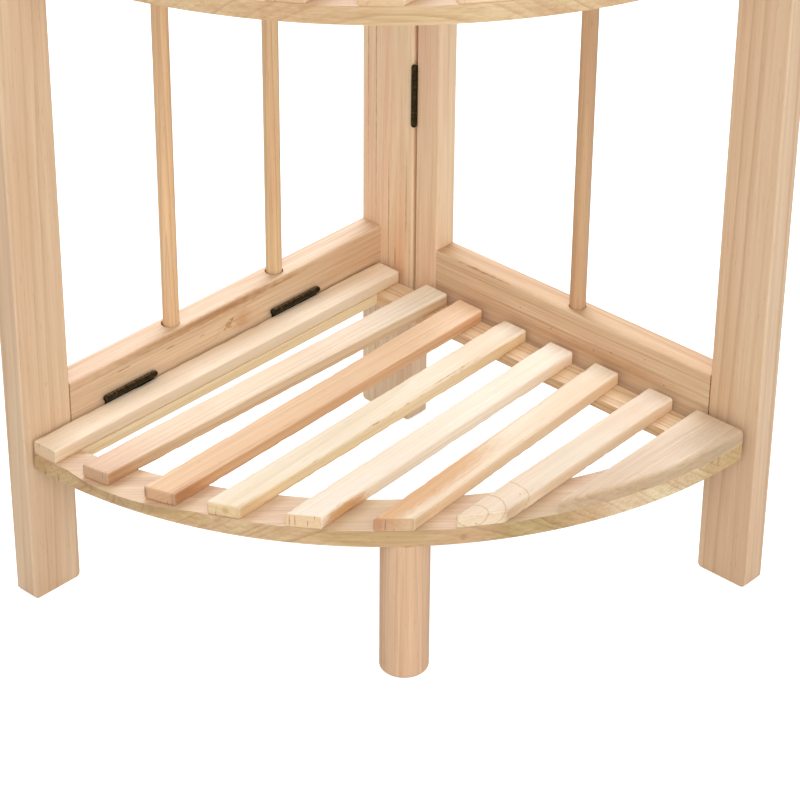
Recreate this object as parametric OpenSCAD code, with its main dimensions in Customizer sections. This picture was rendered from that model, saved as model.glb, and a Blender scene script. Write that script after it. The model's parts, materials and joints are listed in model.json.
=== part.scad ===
// Folding corner shelf in softwood: two side frames hinged at the back corner and three
// quarter-round slatted shelves that fold up against the left frame.
// The back corner is worked out at x = 0, y = 0; the left frame runs along -Y and the right
// frame along +X. placed() then moves everything so that the origin is on the floor, below
// the middle of the object.

/* [Side frames] */
// Width of each side frame, measured from the back corner
frame_w = 330; // [324:1:350]
// Height of the side frames
frame_h = 1100; // [1095:5:1200]
// Thickness of the boards that the frames are made of
board_t = 17; // [15:0.5:18]
// Width of the corner board, which stands beside the left frame's inner stile
corner_board_w = 28; // [24:1:34]
// Gap between the corner board and the right frame, which holds the hinge leaves
corner_gap = 2.6; // [2:0.1:2.8]
// Width of the right frame's inner stile
inner_stile_w = 19; // [16:1:24]
// Width of the two front posts
front_post_w = 38; // [32:1:42]
// Height of the rails
rail_h = 46; // [40:1:50]
// Rounding of the posts' long edges
post_arris_r = 1.5; // [0.5:0.5:3]
// Rounding of the posts' lower corners
post_foot_r = 4; // [2:0.5:6]
// Rounding of the rails' long edges
rail_arris_r = 1.5; // [0.5:0.5:4]

/* [Rods] */
// Diameter of the round rods
rod_d = 10.5; // [8:0.5:11]
// Diameter of the holes that the left frame's rods stand in
left_rod_hole_d = 12; // [11.2:0.1:13]
// Diameter of the holes that the right frame's rods stand in
right_rod_hole_d = 11.2; // [11.2:0.1:13]
// Depth of the rods in each rail
rod_sink = 10; // [6:1:12]
// Rods in each bay of the left frame
left_rod_count = 2; // [1:1:3]
// Rods in each bay of the right frame
right_rod_count = 1; // [1:1:2]

/* [Shelves] */
// Height of the lowest shelf's top above the floor
first_shelf_z = 116; // [90:1:120]
// Distance from each shelf to the next
shelf_pitch = 332; // [330:1:336]
// Height of the rails' tops above the slats' tops
rail_above_shelf = 25; // [18:1:30]
// Width of a slat
slat_w = 18.8; // [16:0.1:20]
// Thickness of a slat
slat_t = 9; // [8:0.5:12]
// Distance from each slat's left edge to the next one's
slat_pitch = 38.7; // [38:0.1:39]
// Rounding of the slats' long edges
slat_arris_r = 1; // [0.4:0.1:1.5]
// Rounding of the bow slat's curved top edge
bow_edge_r = 3; // [1:0.5:4]
// Thickness of the front rim
rim_t = 11; // [9:0.5:12]
// Thickness of the left and right battens
batten_t = 7; // [6:0.5:9]
// Width of the right batten
right_batten_w = 21; // [18:1:26]
// Radius of the shelf's curved front
front_r = 303; // [300:1:303]
// Radius of the rim's inner curve
rim_inner_r = 316; // [312:1:318]
// How far the rim's left end leans out at its top
rim_lean = 5.4; // [1:0.1:6]
// Gap between the slats' back ends and the right frame
back_gap = 4.5; // [4.4:0.1:6]

/* [Hand-laid slats] */
// How far each slat's left edge lies off its even place; the first has the hinges and stays
slat_shift = [0, 3.2, -0.5, -0.5, 2, 3.4, 3.1, 0.3]; // [-1:0.1:3.5]
// How many degrees each slat is turned; the last value is the bow slat's
slat_turn = [0, -0.5, 2.3, 2.4, 3.3, 4.7, 2.3, 1.7]; // [-0.5:0.1:4.8]
// How much wider than the rest each straight slat is
slat_extra_w = [0, 0, 1.2, 0.4, 0, 0, 0]; // [0:0.1:1.5]
// Share of this unevenness that the middle and top shelves have
upper_unevenness = 0.4; // [0:0.1:1]

/* [Front leg] */
// Diameter of the leg
leg_d = 30; // [26:1:33]
// Place of the leg along the right frame
leg_x = 228; // [226:1:230]
// Place of the leg in front of the right frame
leg_y = -221; // [-223:1:-219]
// Rounding of the leg's lower edge
leg_foot_r = 2; // [1:0.5:3]
// Diameter of the bolt that holds the leg
bolt_d = 8; // [6:1:8]

/* [Hinges] */
// Length of each hinge
hinge_len = 40; // [38:1:50]
// Outer radius of the hinge knuckles
knuckle_r = 2.1; // [2:0.05:2.1]
// Radius of the hinge pins
pin_r = 1; // [0.8:0.1:1.2]
// Thickness of the hinge leaves
leaf_t = 0.8; // [0.6:0.1:0.8]
// Places of the two shelf hinges along the left frame
shelf_hinge_y = [-100, -245]; // [-260:1:-90]
// Height of the lowest corner hinge's middle above its shelf
corner_hinge_rise = 130; // [120:1:140]

/* [Hidden] */

small_fn = 40;
arc_fn = 256;
// Radial play of dowels, screws and pins in their holes, and room at the holes' ends
fit_play = 0.05;
blind_room = 0.5;
cut = 1;

SHELVES = [0, 1, 2];
RAILS = [0, 1, 2, 3];
SLATS = [0 : 6];
BOW = 7;
wood = "burlywood";
pale_wood = "wheat";
warm_wood = "tan";
bronze = [0.24, 0.2, 0.16];
steel = "silver";
slat_colors = ["bisque", "cornsilk", "sandybrown", "wheat", "lemonchiffon", "peachpuff", "moccasin"];

// Frames
corner_end = board_t + corner_board_w;
inner_x = corner_end + corner_gap;
opening_x = inner_x + inner_stile_w;
front_x = frame_w - front_post_w;
rail_below_shelf = rail_h - rail_above_shelf;
function level(k) = first_shelf_z + k * shelf_pitch;
function rail_z(j) = j < 3 ? level(j) - rail_below_shelf : frame_h - rail_h;
function left_rod_y(n) = -board_t - n * (front_x - board_t) / (left_rod_count + 1);
function right_rod_x(n) = opening_x + n * (front_x - opening_x) / (right_rod_count + 1);

// Dowels
dowel_r = 4;
dowel_in_post = 12;
dowel_in_rail = 24;
dowel_spread = 12;

// Screws that hold the corner board to the left inner stile
corner_screw_len = 34;
corner_screw_drop = 40;

// Shelf plan
leaf_room = 0.05;
leaf_gap = 0.1;
slot_w = 2 * (leaf_t + leaf_room) + leaf_gap;
shelf_left = board_t + slot_w;
shelf_back = -board_t - back_gap;
front_center_x = shelf_left + 0.7;
front_center = [front_center_x, shelf_back];
rim_center_shift = [-35.5, 30];
rim_center = front_center + rim_center_shift;
rim_mid_center = (front_center + rim_center) / 2;
rim_mid_r = (front_r + rim_inner_r) / 2;
slat_turn_y = -140;
slat_reach = [160, 200];
rim_z = -slat_t - rim_t;
batten_z = -slat_t - batten_t;
right_batten_front = shelf_back - right_batten_w;
batten_mid_y = shelf_back - right_batten_w / 2;
butt_gap = 0.2;
bow_blank_w = 60;

// Cone whose side is the leaning part of the rim
lean_reach = 187;
lean_angle = -76.4;
lean_cone_r = 115.6;
lean_middle = front_center + lean_reach * [cos(lean_angle), sin(lean_angle)];

function evenness(k) = k == 0 ? 1 : upper_unevenness;
function slat_left(k, i) = shelf_left + i * slat_pitch + slat_shift[i] * evenness(k);
function turn(k, i) = slat_turn[i] * evenness(k);
function slat_width(i) = slat_w + slat_extra_w[i];
function slat_dir(k, i) = [-sin(turn(k, i)), cos(turn(k, i))];
function slat_mid(k, i) = [slat_left(k, i), slat_turn_y]
    + slat_width(i) / 2 * [cos(turn(k, i)), sin(turn(k, i))];
// Distance along direction d from p to the near side of the circle round c
function reach_back(p, d, c, r) = let (q = p - c, b = q * d) -b - sqrt(b * b - q * q + r * r);

// Screws: the leg's bolt takes the place of the rim screw of the sixth slat on the lowest shelf
leg_slat = 5;
screw_head_r = 3.2;
screw_r = 1.6;
screw_head_h = 1.8;
screw_tip_h = 2;
screw_cover = 3;
rim_screw_len = rim_t + slat_t - screw_cover;
batten_screw_len = batten_t + slat_t - screw_cover;
left_batten_screw_y = [-60, -170, -288];
bow_screws = [[308, -34], [300, -98]];

function has_rim_screw(k, i) = k > 0 || i != leg_slat;
function rim_point(k, i) = slat_mid(k, i) + slat_dir(k, i)
    * reach_back(slat_mid(k, i), slat_dir(k, i), rim_mid_center, rim_mid_r);
function batten_point(k, i) = slat_mid(k, i) + slat_dir(k, i)
    * (batten_mid_y - slat_mid(k, i)[1]) / slat_dir(k, i)[1];
left_batten_mid = shelf_left + slat_w / 2;

// Leg
leg_top = first_shelf_z + rim_z;
bolt_in_leg = 30;
bolt_in_slat = 7;

// Pegs
peg_r = 4;
peg_out = 20;
peg_in = 12;
peg_gap = 0.3;
peg_x = frame_w - front_post_w / 2;

// Hinges, drawn round the pin: the leaves lie along V, and U goes across them
knuckles = 5;
knuckle_gap = 0.3;
turn_room = 0.3;
pin_lift = 1.2;
shelf_leaf_drop = 15;
corner_leaf_inset = 1;
corner_screw_inset = 8;
knuckle_len = (hinge_len - (knuckles - 1) * knuckle_gap) / knuckles;
notch_v = knuckle_r + turn_room;
pin_reach = hinge_len / 2 + knuckle_gap;
pin_cap_h = 1.9;
pin_cap_r = knuckle_r - 0.1;
pin_dome_r = (pin_cap_r * pin_cap_r + pin_cap_h * pin_cap_h) / (2 * pin_cap_h);
leaf_screw_r = 1.3;
leaf_screw_head_r = 2.2;
leaf_screw_len = 10;
leaf_screw_place = 14;
OUTER_KNUCKLES = [0, 2, 4];
INNER_KNUCKLES = [1, 3];

shelf_pin_x = board_t + leaf_room + knuckle_r;
shelf_pin_z = knuckle_r + pin_lift;
rail_leaf_u = -knuckle_r;
shelf_leaf_u = rail_leaf_u + leaf_t + leaf_gap;
shelf_leaf_v = -(shelf_pin_z + shelf_leaf_drop);
shelf_leaf_screw_v = -(shelf_pin_z + slat_t / 2);

// The barrel lies in the groove between the two posts' rounded edges
barrel_room = 0.1;
corner_pin_out = sqrt(
    pow(knuckle_r + post_arris_r + barrel_room, 2) - pow(corner_gap / 2 + post_arris_r, 2)
) - post_arris_r;
corner_pin_x = corner_end + corner_gap / 2;
corner_pin_y = -board_t - corner_pin_out;
board_leaf_u = -corner_gap / 2 + leaf_room;
stile_leaf_u = corner_gap / 2 - leaf_room - leaf_t;
corner_leaf_v = corner_pin_out + board_t - corner_leaf_inset;
corner_leaf_screw_v = corner_leaf_v - corner_screw_inset;
function corner_hinge_z(k) = level(k) + corner_hinge_rise;

// Shared shapes

module placed() {
    translate([-frame_w / 2, frame_w / 2, 0]) children();
}

// Rectangle from the origin with rounded corners
module soft_rect(w, d, r) {
    translate([r, 0]) square([w - 2 * r, d]);
    translate([0, r]) square([w, d - 2 * r]);
    for (x = [r, w - r], y = [r, d - r]) {
        translate([x, y]) circle(r = r, $fn = small_fn);
    }
}

module post(x, y, w, d) {
    translate([x, y, 0]) linear_extrude(frame_h) soft_rect(w, d, post_arris_r);
}

// Upright plate along X, w wide, whose two lower corners are rounded
module round_foot(w) {
    rotate([90, 0, 0])
        linear_extrude(board_t) soft_rect(w, frame_h + 2 * post_foot_r, post_foot_r);
}

// Upright plate across X, w wide, whose lower back corner is rounded
module round_heel(w) {
    depth = board_t + 2 * post_foot_r;
    translate([0, -depth, 0]) rotate([90, 0, 90])
        linear_extrude(w) soft_rect(depth, frame_h + 2 * post_foot_r, post_foot_r);
}

// Room at the end of a hole; what stands in the hole has no play and no room
function end_room(play) = play > 0 ? blind_room : 0;

// Screw with a countersunk head at the origin, driven towards +Z; play widens it into its hole
module screw(head_r, shank_r, head_h, len, play = 0) {
    rotate_extrude($fn = small_fn) polygon([
        [0, 0], [head_r + play, 0], [shank_r + play, head_h],
        [shank_r + play, len - screw_tip_h], [0, len + play]
    ]);
}

// Left frame

module left_rail(j) {
    color(warm_wood) placed() difference() {
        translate([0, -board_t, rail_z(j)]) rotate([90, 0, 0])
            linear_extrude(front_x - board_t) soft_rect(board_t, rail_h, rail_arris_r);
        left_dowels(j, fit_play);
        left_rod_holes(j);
        if (j < 3) {
            at_shelf_hinges(j) rail_leaf_screws(fit_play);
        }
    }
}

module left_rod_holes(j) {
    for (n = [1 : left_rod_count]) {
        translate([board_t / 2, left_rod_y(n), 0]) rod_holes(j, left_rod_hole_d);
    }
}

// Blind holes of diameter d in the top and the underside of one rail, at the place of one rod
module rod_holes(j, d) {
    if (j < 3) {
        translate([0, 0, rail_z(j) + rail_h - rod_sink])
            cylinder(d = d, h = rod_sink + cut, $fn = small_fn);
    }
    if (j > 0) {
        translate([0, 0, rail_z(j) - cut])
            cylinder(d = d, h = rod_sink + cut, $fn = small_fn);
    }
}

// The three rods that stand above each other at one place
module rod_column() {
    for (k = SHELVES) {
        z = rail_z(k) + rail_h - rod_sink;
        translate([0, 0, z])
            cylinder(d = rod_d, h = rail_z(k + 1) + rod_sink - z, $fn = small_fn);
    }
}

module left_rods() {
    color(pale_wood) placed()
        for (n = [1 : left_rod_count]) {
            translate([board_t / 2, left_rod_y(n), 0]) rod_column();
        }
}

// Dowel from the post into the rail along +Z; play widens it into its hole
module dowel(play = 0) {
    room = end_room(play);
    translate([0, 0, -dowel_in_post - room])
        cylinder(r = dowel_r + play, h = dowel_in_post + dowel_in_rail + 2 * room, $fn = small_fn);
}

module left_dowels(j, play = 0) {
    for (s = [-1, 1]) {
        translate([board_t / 2, 0, rail_z(j) + rail_h / 2 + s * dowel_spread]) {
            translate([0, -board_t, 0]) rotate([90, 0, 0]) dowel(play);
            translate([0, -front_x, 0]) rotate([-90, 0, 0]) dowel(play);
        }
    }
}

module left_frame_dowels() {
    color(pale_wood) placed() for (j = RAILS) left_dowels(j);
}

// The left inner stile and the corner board have one outline, which is cut at x1 and x2
module corner_post(x1, x2) {
    intersection() {
        post(0, -board_t, corner_end, board_t);
        round_foot(corner_end);
        round_heel(corner_end);
        translate([x1, -board_t - cut, -cut])
            cube([x2 - x1, board_t + 2 * cut, frame_h + 2 * cut]);
    }
}

module corner_screws(play = 0) {
    for (j = RAILS) {
        translate([0, -board_t / 2, rail_z(j) - corner_screw_drop]) rotate([0, 90, 0])
            screw(screw_head_r, screw_r, screw_head_h, corner_screw_len, play);
    }
}

module left_inner_stile() {
    color(pale_wood) placed() difference() {
        corner_post(0, board_t);
        for (j = RAILS) left_dowels(j, fit_play);
        corner_screws(fit_play);
    }
}

module corner_board() {
    color(wood) placed() difference() {
        corner_post(board_t, corner_end);
        corner_screws(fit_play);
        at_corner_hinges() board_leaf_screws(fit_play);
    }
}

module corner_board_screws() {
    color(steel) placed() corner_screws();
}

module left_front_post() {
    color(wood) placed() difference() {
        intersection() {
            post(0, -frame_w, board_t, front_post_w);
            translate([0, -frame_w, 0]) rotate([0, 0, 90]) round_foot(front_post_w);
        }
        for (j = RAILS) left_dowels(j, fit_play);
    }
}

// Right frame

module right_rail(j) {
    color(warm_wood) placed() difference() {
        translate([opening_x, -board_t, rail_z(j)]) rotate([90, 0, 90])
            linear_extrude(front_x - opening_x) soft_rect(board_t, rail_h, rail_arris_r);
        right_dowels(j, fit_play);
        for (n = [1 : right_rod_count]) {
            translate([right_rod_x(n), -board_t / 2, 0]) rod_holes(j, right_rod_hole_d);
        }
    }
}

module right_rods() {
    color(pale_wood) placed()
        for (n = [1 : right_rod_count]) {
            translate([right_rod_x(n), -board_t / 2, 0]) rod_column();
        }
}

module right_dowels(j, play = 0) {
    for (s = [-1, 1]) {
        translate([0, -board_t / 2, rail_z(j) + rail_h / 2 + s * dowel_spread]) {
            translate([opening_x, 0, 0]) rotate([0, 90, 0]) dowel(play);
            translate([front_x, 0, 0]) rotate([0, -90, 0]) dowel(play);
        }
    }
}

module right_frame_dowels() {
    color(pale_wood) placed() for (j = RAILS) right_dowels(j);
}

module right_inner_stile() {
    color(wood) placed() difference() {
        intersection() {
            post(inner_x, -board_t, inner_stile_w, board_t);
            translate([inner_x, -board_t, rail_z(0)]) cube([inner_stile_w, board_t, frame_h]);
        }
        for (j = RAILS) right_dowels(j, fit_play);
        at_corner_hinges() stile_leaf_screws(fit_play);
    }
}

module right_front_post() {
    color(wood) placed() difference() {
        intersection() {
            post(front_x, -board_t, front_post_w, board_t);
            translate([front_x, 0, 0]) round_foot(front_post_w);
        }
        for (j = RAILS) right_dowels(j, fit_play);
        for (k = SHELVES) peg(k, fit_play);
    }
}

// Peg that carries a shelf's free corner
module peg(k, play = 0) {
    room = end_room(play);
    translate([peg_x, -board_t + peg_in + room, level(k) + rim_z - peg_gap - peg_r])
        rotate([90, 0, 0])
            cylinder(r = peg_r + play, h = peg_in + peg_out + room, $fn = small_fn);
}

module shelf_pegs() {
    color(pale_wood) placed() for (k = SHELVES) peg(k);
}

// Hinges

module at_shelf_hinges(k) {
    for (y = shelf_hinge_y) {
        translate([shelf_pin_x, y, level(k) + shelf_pin_z]) rotate([90, 0, 0]) children();
    }
}

module at_corner_hinges() {
    for (k = SHELVES) {
        translate([corner_pin_x, corner_pin_y, corner_hinge_z(k)]) children();
    }
}

function knuckle_z(n) = -hinge_len / 2 + n * (knuckle_len + knuckle_gap);

// Leaf with its own knuckles, cut clear of the other leaf's
module hinge_leaf(u, v, own, other, screw_v, side) {
    difference() {
        union() {
            difference() {
                translate([u, min(0, v), -hinge_len / 2]) cube([leaf_t, abs(v), hinge_len]);
                for (n = other) {
                    translate([u - cut, -notch_v, knuckle_z(n) - knuckle_gap])
                        cube([leaf_t + 2 * cut, 2 * notch_v, knuckle_len + 2 * knuckle_gap]);
                }
            }
            for (n = own) {
                translate([0, 0, knuckle_z(n)])
                    cylinder(r = knuckle_r, h = knuckle_len, $fn = small_fn);
            }
        }
        translate([0, 0, -hinge_len])
            cylinder(r = pin_r + fit_play, h = 2 * hinge_len, $fn = small_fn);
        leaf_screws(u, screw_v, side, fit_play);
    }
}

// Two screws through a leaf, driven towards the side that side points to
module leaf_screws(u, v, side, play = 0) {
    for (z = [-leaf_screw_place, leaf_screw_place]) {
        translate([side > 0 ? u : u + leaf_t, v, z]) rotate([0, side * 90, 0])
            screw(leaf_screw_head_r, leaf_screw_r, leaf_t, leaf_screw_len, play);
    }
}

module rail_leaf_screws(play = 0) {
    leaf_screws(rail_leaf_u, shelf_leaf_screw_v, -1, play);
}

module shelf_leaf_screws(play = 0) {
    leaf_screws(shelf_leaf_u, shelf_leaf_screw_v, 1, play);
}

module board_leaf_screws(play = 0) {
    leaf_screws(board_leaf_u, corner_leaf_screw_v, -1, play);
}

module stile_leaf_screws(play = 0) {
    leaf_screws(stile_leaf_u, corner_leaf_screw_v, 1, play);
}

// Pin with a domed cap at each end
module hinge_pin() {
    cylinder(r = pin_r, h = 2 * pin_reach, center = true, $fn = small_fn);
    for (s = [0, 1]) {
        mirror([0, 0, s]) translate([0, 0, pin_reach]) intersection() {
            cylinder(r = 2 * pin_cap_r, h = pin_cap_h, $fn = small_fn);
            translate([0, 0, pin_cap_h - pin_dome_r]) sphere(r = pin_dome_r, $fn = small_fn);
        }
    }
}

module corner_hinge_board_leaves() {
    color(bronze) placed() at_corner_hinges()
        hinge_leaf(
            board_leaf_u, corner_leaf_v, OUTER_KNUCKLES, INNER_KNUCKLES, corner_leaf_screw_v, -1);
}

module corner_hinge_stile_leaves() {
    color(bronze) placed() at_corner_hinges()
        hinge_leaf(
            stile_leaf_u, corner_leaf_v, INNER_KNUCKLES, OUTER_KNUCKLES, corner_leaf_screw_v, 1);
}

module corner_hinge_pins() {
    color(bronze) placed() at_corner_hinges() hinge_pin();
}

module shelf_hinge_rail_leaves() {
    color(bronze) placed() for (k = SHELVES) at_shelf_hinges(k)
        hinge_leaf(
            rail_leaf_u, shelf_leaf_v, OUTER_KNUCKLES, INNER_KNUCKLES, shelf_leaf_screw_v, -1);
}

module shelf_hinge_pins() {
    color(bronze) placed() for (k = SHELVES) at_shelf_hinges(k) hinge_pin();
}

module frame_hinge_screws() {
    color(bronze) placed() {
        for (k = SHELVES) at_shelf_hinges(k) rail_leaf_screws();
        at_corner_hinges() board_leaf_screws();
        at_corner_hinges() stile_leaf_screws();
    }
}

module shelf_hinge_leaves(k) {
    color(bronze) placed() at_shelf_hinges(k)
        hinge_leaf(
            shelf_leaf_u, shelf_leaf_v, INNER_KNUCKLES, OUTER_KNUCKLES, shelf_leaf_screw_v, 1);
}

// Shelves, drawn with the slats' tops at z = 0 and lifted to their level

// Disc of the shelf's curved front, with its top edge rounded by edge_r
module front_disc(z, h, edge_r = 0) {
    translate([front_center[0], front_center[1], z]) {
        cylinder(r = front_r - edge_r, h = h, $fn = arc_fn);
        if (edge_r > 0) {
            cylinder(r = front_r, h = h - edge_r, $fn = arc_fn);
            rotate_extrude($fn = arc_fn) translate([front_r - edge_r, h - edge_r])
                circle(r = edge_r, $fn = small_fn);
        }
    }
}

// Everything inside the curved front, the left edge and the back edge
module shelf_plan(z, h, edge_r = 0) {
    intersection() {
        front_disc(z, h, edge_r);
        translate([shelf_left, shelf_back - 2 * front_r, z]) cube([2 * front_r, 2 * front_r, h]);
    }
}

// Left part of the rim, which leans out towards its top
module leaning_end(k) {
    intersection() {
        translate([lean_middle[0], lean_middle[1], rim_z])
            cylinder(
                r1 = lean_cone_r, r2 = lean_cone_r + rim_lean * evenness(k), h = rim_t, $fn = arc_fn);
        translate([shelf_left, shelf_back - 2 * front_r, rim_z])
            cube([2 * front_r, 2 * front_r, rim_t]);
    }
}

module inner_curve(z, h, r) {
    translate([rim_center[0], rim_center[1], z]) cylinder(r = r, h = h, $fn = arc_fn);
}

module slat_blank(k, i, w) {
    translate([slat_left(k, i), slat_turn_y, -slat_t]) rotate([0, 0, turn(k, i)])
        translate([0, slat_reach[0], 0]) rotate([90, 0, 0])
            linear_extrude(slat_reach[0] + slat_reach[1]) soft_rect(w, slat_t, slat_arris_r);
}

module rim_screw_at(p, play = 0) {
    translate([p[0], p[1], rim_z]) screw(screw_head_r, screw_r, screw_head_h, rim_screw_len, play);
}

module batten_screw_at(p, play = 0) {
    translate([p[0], p[1], batten_z])
        screw(screw_head_r, screw_r, screw_head_h, batten_screw_len, play);
}

module rim_screws(k, play = 0) {
    for (i = SLATS) {
        if (has_rim_screw(k, i)) rim_screw_at(rim_point(k, i), play);
    }
    for (p = bow_screws) rim_screw_at(p, play);
}

module right_batten_screws(k, play = 0) {
    for (i = SLATS) batten_screw_at(batten_point(k, i), play);
}

module left_batten_screws(play = 0) {
    for (y = left_batten_screw_y) batten_screw_at([left_batten_mid, y], play);
}

module slat_solid(k, i) {
    difference() {
        intersection() {
            slat_blank(k, i, slat_width(i));
            shelf_plan(-slat_t - cut, slat_t + 2 * cut);
        }
        if (has_rim_screw(k, i)) rim_screw_at(rim_point(k, i), fit_play);
        batten_screw_at(batten_point(k, i), fit_play);
        if (i == 0) left_batten_screws(fit_play);
        if (i == 0) translate([0, 0, -level(k)]) at_shelf_hinges(k) shelf_leaf_screws(fit_play);
        if (k == 0 && i == leg_slat) translate([0, 0, -level(0)]) bolt_solid(fit_play);
    }
}

module bow_slat_solid(k) {
    difference() {
        intersection() {
            slat_blank(k, BOW, bow_blank_w);
            shelf_plan(-slat_t, slat_t, bow_edge_r);
        }
        for (p = bow_screws) rim_screw_at(p, fit_play);
    }
}

module on_shelf(k) {
    placed() translate([0, 0, level(k)]) children();
}

module slats(k) {
    for (i = SLATS) color(slat_colors[i]) on_shelf(k) slat_solid(k, i);
}

module bottom_slat(i) {
    color(slat_colors[i]) on_shelf(0) slat_solid(0, i);
}

module bow_slat(k) {
    color("bisque") on_shelf(k) bow_slat_solid(k);
}

module rim(k) {
    color(warm_wood) on_shelf(k) difference() {
        union() {
            shelf_plan(rim_z, rim_t);
            leaning_end(k);
        }
        inner_curve(rim_z - cut, rim_t + 2 * cut, rim_inner_r);
        rim_screws(k, fit_play);
        if (k == 0) translate([0, 0, -level(0)]) bolt_solid(fit_play);
    }
}

module left_batten(k) {
    color(pale_wood) on_shelf(k) difference() {
        intersection() {
            translate([shelf_left, rim_center[1] - 2 * front_r, batten_z])
                cube([slat_w, right_batten_front - rim_center[1] + 2 * front_r, batten_t]);
            inner_curve(batten_z - cut, batten_t + 2 * cut, rim_inner_r - butt_gap);
        }
        left_batten_screws(fit_play);
    }
}

module right_batten(k) {
    color(pale_wood) on_shelf(k) difference() {
        intersection() {
            translate([shelf_left, right_batten_front, batten_z])
                cube([2 * front_r, right_batten_w, batten_t]);
            inner_curve(batten_z - cut, batten_t + 2 * cut, rim_inner_r - butt_gap);
        }
        right_batten_screws(k, fit_play);
    }
}

// All screws of one shelf: from below into the slats, and through the hinge leaves
module shelf_screws(k) {
    color(steel) on_shelf(k) {
        rim_screws(k);
        right_batten_screws(k);
        left_batten_screws();
    }
    color(bronze) placed() at_shelf_hinges(k) shelf_leaf_screws();
}

// Front leg

module bolt_solid(play = 0) {
    room = end_room(play);
    translate([leg_x, leg_y, leg_top - bolt_in_leg - room]) cylinder(
        d = bolt_d + 2 * play, h = bolt_in_leg + rim_t + bolt_in_slat + 2 * room, $fn = small_fn);
}

module front_leg() {
    color(wood) placed() difference() {
        translate([leg_x, leg_y, 0]) {
            translate([0, 0, leg_foot_r])
                cylinder(d = leg_d, h = leg_top - leg_foot_r, $fn = 2 * small_fn);
            cylinder(r = leg_d / 2 - leg_foot_r, h = leg_foot_r, $fn = 2 * small_fn);
            rotate_extrude($fn = 2 * small_fn) translate([leg_d / 2 - leg_foot_r, leg_foot_r])
                circle(r = leg_foot_r, $fn = small_fn);
        }
        bolt_solid(fit_play);
    }
}

module leg_bolt() {
    color(steel) placed() bolt_solid();
}

left_inner_stile();
corner_board();
corner_board_screws();
left_front_post();
left_rail(0);  // left_bottom_rail
left_rail(1);  // left_middle_rail
left_rail(2);  // left_upper_rail
left_rail(3);  // left_top_rail
left_rods();
left_frame_dowels();
right_inner_stile();
right_front_post();
right_rail(0);  // right_bottom_rail
right_rail(1);  // right_middle_rail
right_rail(2);  // right_upper_rail
right_rail(3);  // right_top_rail
right_rods();
right_frame_dowels();
shelf_pegs();
corner_hinge_board_leaves();
corner_hinge_stile_leaves();
corner_hinge_pins();
shelf_hinge_rail_leaves();
shelf_hinge_pins();
frame_hinge_screws();
bottom_slat(0);  // bottom_slat_1
bottom_slat(1);  // bottom_slat_2
bottom_slat(2);  // bottom_slat_3
bottom_slat(3);  // bottom_slat_4
bottom_slat(4);  // bottom_slat_5
bottom_slat(5);  // bottom_slat_6
bottom_slat(6);  // bottom_slat_7
bow_slat(0);  // bottom_bow_slat
rim(0);  // bottom_rim
left_batten(0);  // bottom_left_batten
right_batten(0);  // bottom_right_batten
shelf_hinge_leaves(0);  // bottom_hinge_leaves
shelf_screws(0);  // bottom_shelf_screws
front_leg();
leg_bolt();
slats(1);  // middle_slats
bow_slat(1);  // middle_bow_slat
rim(1);  // middle_rim
left_batten(1);  // middle_left_batten
right_batten(1);  // middle_right_batten
shelf_hinge_leaves(1);  // middle_hinge_leaves
shelf_screws(1);  // middle_shelf_screws
slats(2);  // top_slats
bow_slat(2);  // top_bow_slat
rim(2);  // top_rim
left_batten(2);  // top_left_batten
right_batten(2);  // top_right_batten
shelf_hinge_leaves(2);  // top_hinge_leaves
shelf_screws(2);  // top_shelf_screws
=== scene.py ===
"""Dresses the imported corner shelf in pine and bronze, and lights it as in the photograph.

Sizes are worked out in millimetres from the back corner, as the CAD source does, with x along the
right frame and y negative along the left one. Plan.at() turns them into metres in the row's frame.
"""
import json
import logging
import math
from dataclasses import dataclass, field, replace
from enum import Enum

import bmesh
import bpy
from mathutils import Matrix, Vector

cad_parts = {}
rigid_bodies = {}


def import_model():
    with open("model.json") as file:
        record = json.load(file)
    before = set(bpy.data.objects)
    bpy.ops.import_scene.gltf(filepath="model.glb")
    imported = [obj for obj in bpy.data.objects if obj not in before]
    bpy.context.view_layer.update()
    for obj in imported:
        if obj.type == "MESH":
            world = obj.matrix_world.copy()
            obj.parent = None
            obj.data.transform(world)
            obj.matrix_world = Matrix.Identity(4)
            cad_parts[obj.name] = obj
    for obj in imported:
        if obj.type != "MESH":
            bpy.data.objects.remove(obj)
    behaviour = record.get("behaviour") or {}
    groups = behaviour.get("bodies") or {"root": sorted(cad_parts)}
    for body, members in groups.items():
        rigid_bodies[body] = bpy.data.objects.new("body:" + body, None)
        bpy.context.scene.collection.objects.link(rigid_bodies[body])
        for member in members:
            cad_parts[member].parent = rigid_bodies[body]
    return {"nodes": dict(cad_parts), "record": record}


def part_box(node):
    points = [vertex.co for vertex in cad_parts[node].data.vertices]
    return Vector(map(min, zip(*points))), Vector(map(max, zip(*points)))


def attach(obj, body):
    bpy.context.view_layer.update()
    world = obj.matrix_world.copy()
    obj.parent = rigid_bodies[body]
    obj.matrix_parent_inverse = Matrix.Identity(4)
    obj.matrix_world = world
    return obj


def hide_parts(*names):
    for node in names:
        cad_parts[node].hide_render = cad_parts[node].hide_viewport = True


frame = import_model()

LOG = logging.getLogger("corner_shelf")
MM = 0.001
Colour = tuple[float, float, float]
Place = tuple[float, float, float]
Socket = bpy.types.NodeSocket
NodeTree = bpy.types.NodeTree


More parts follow.
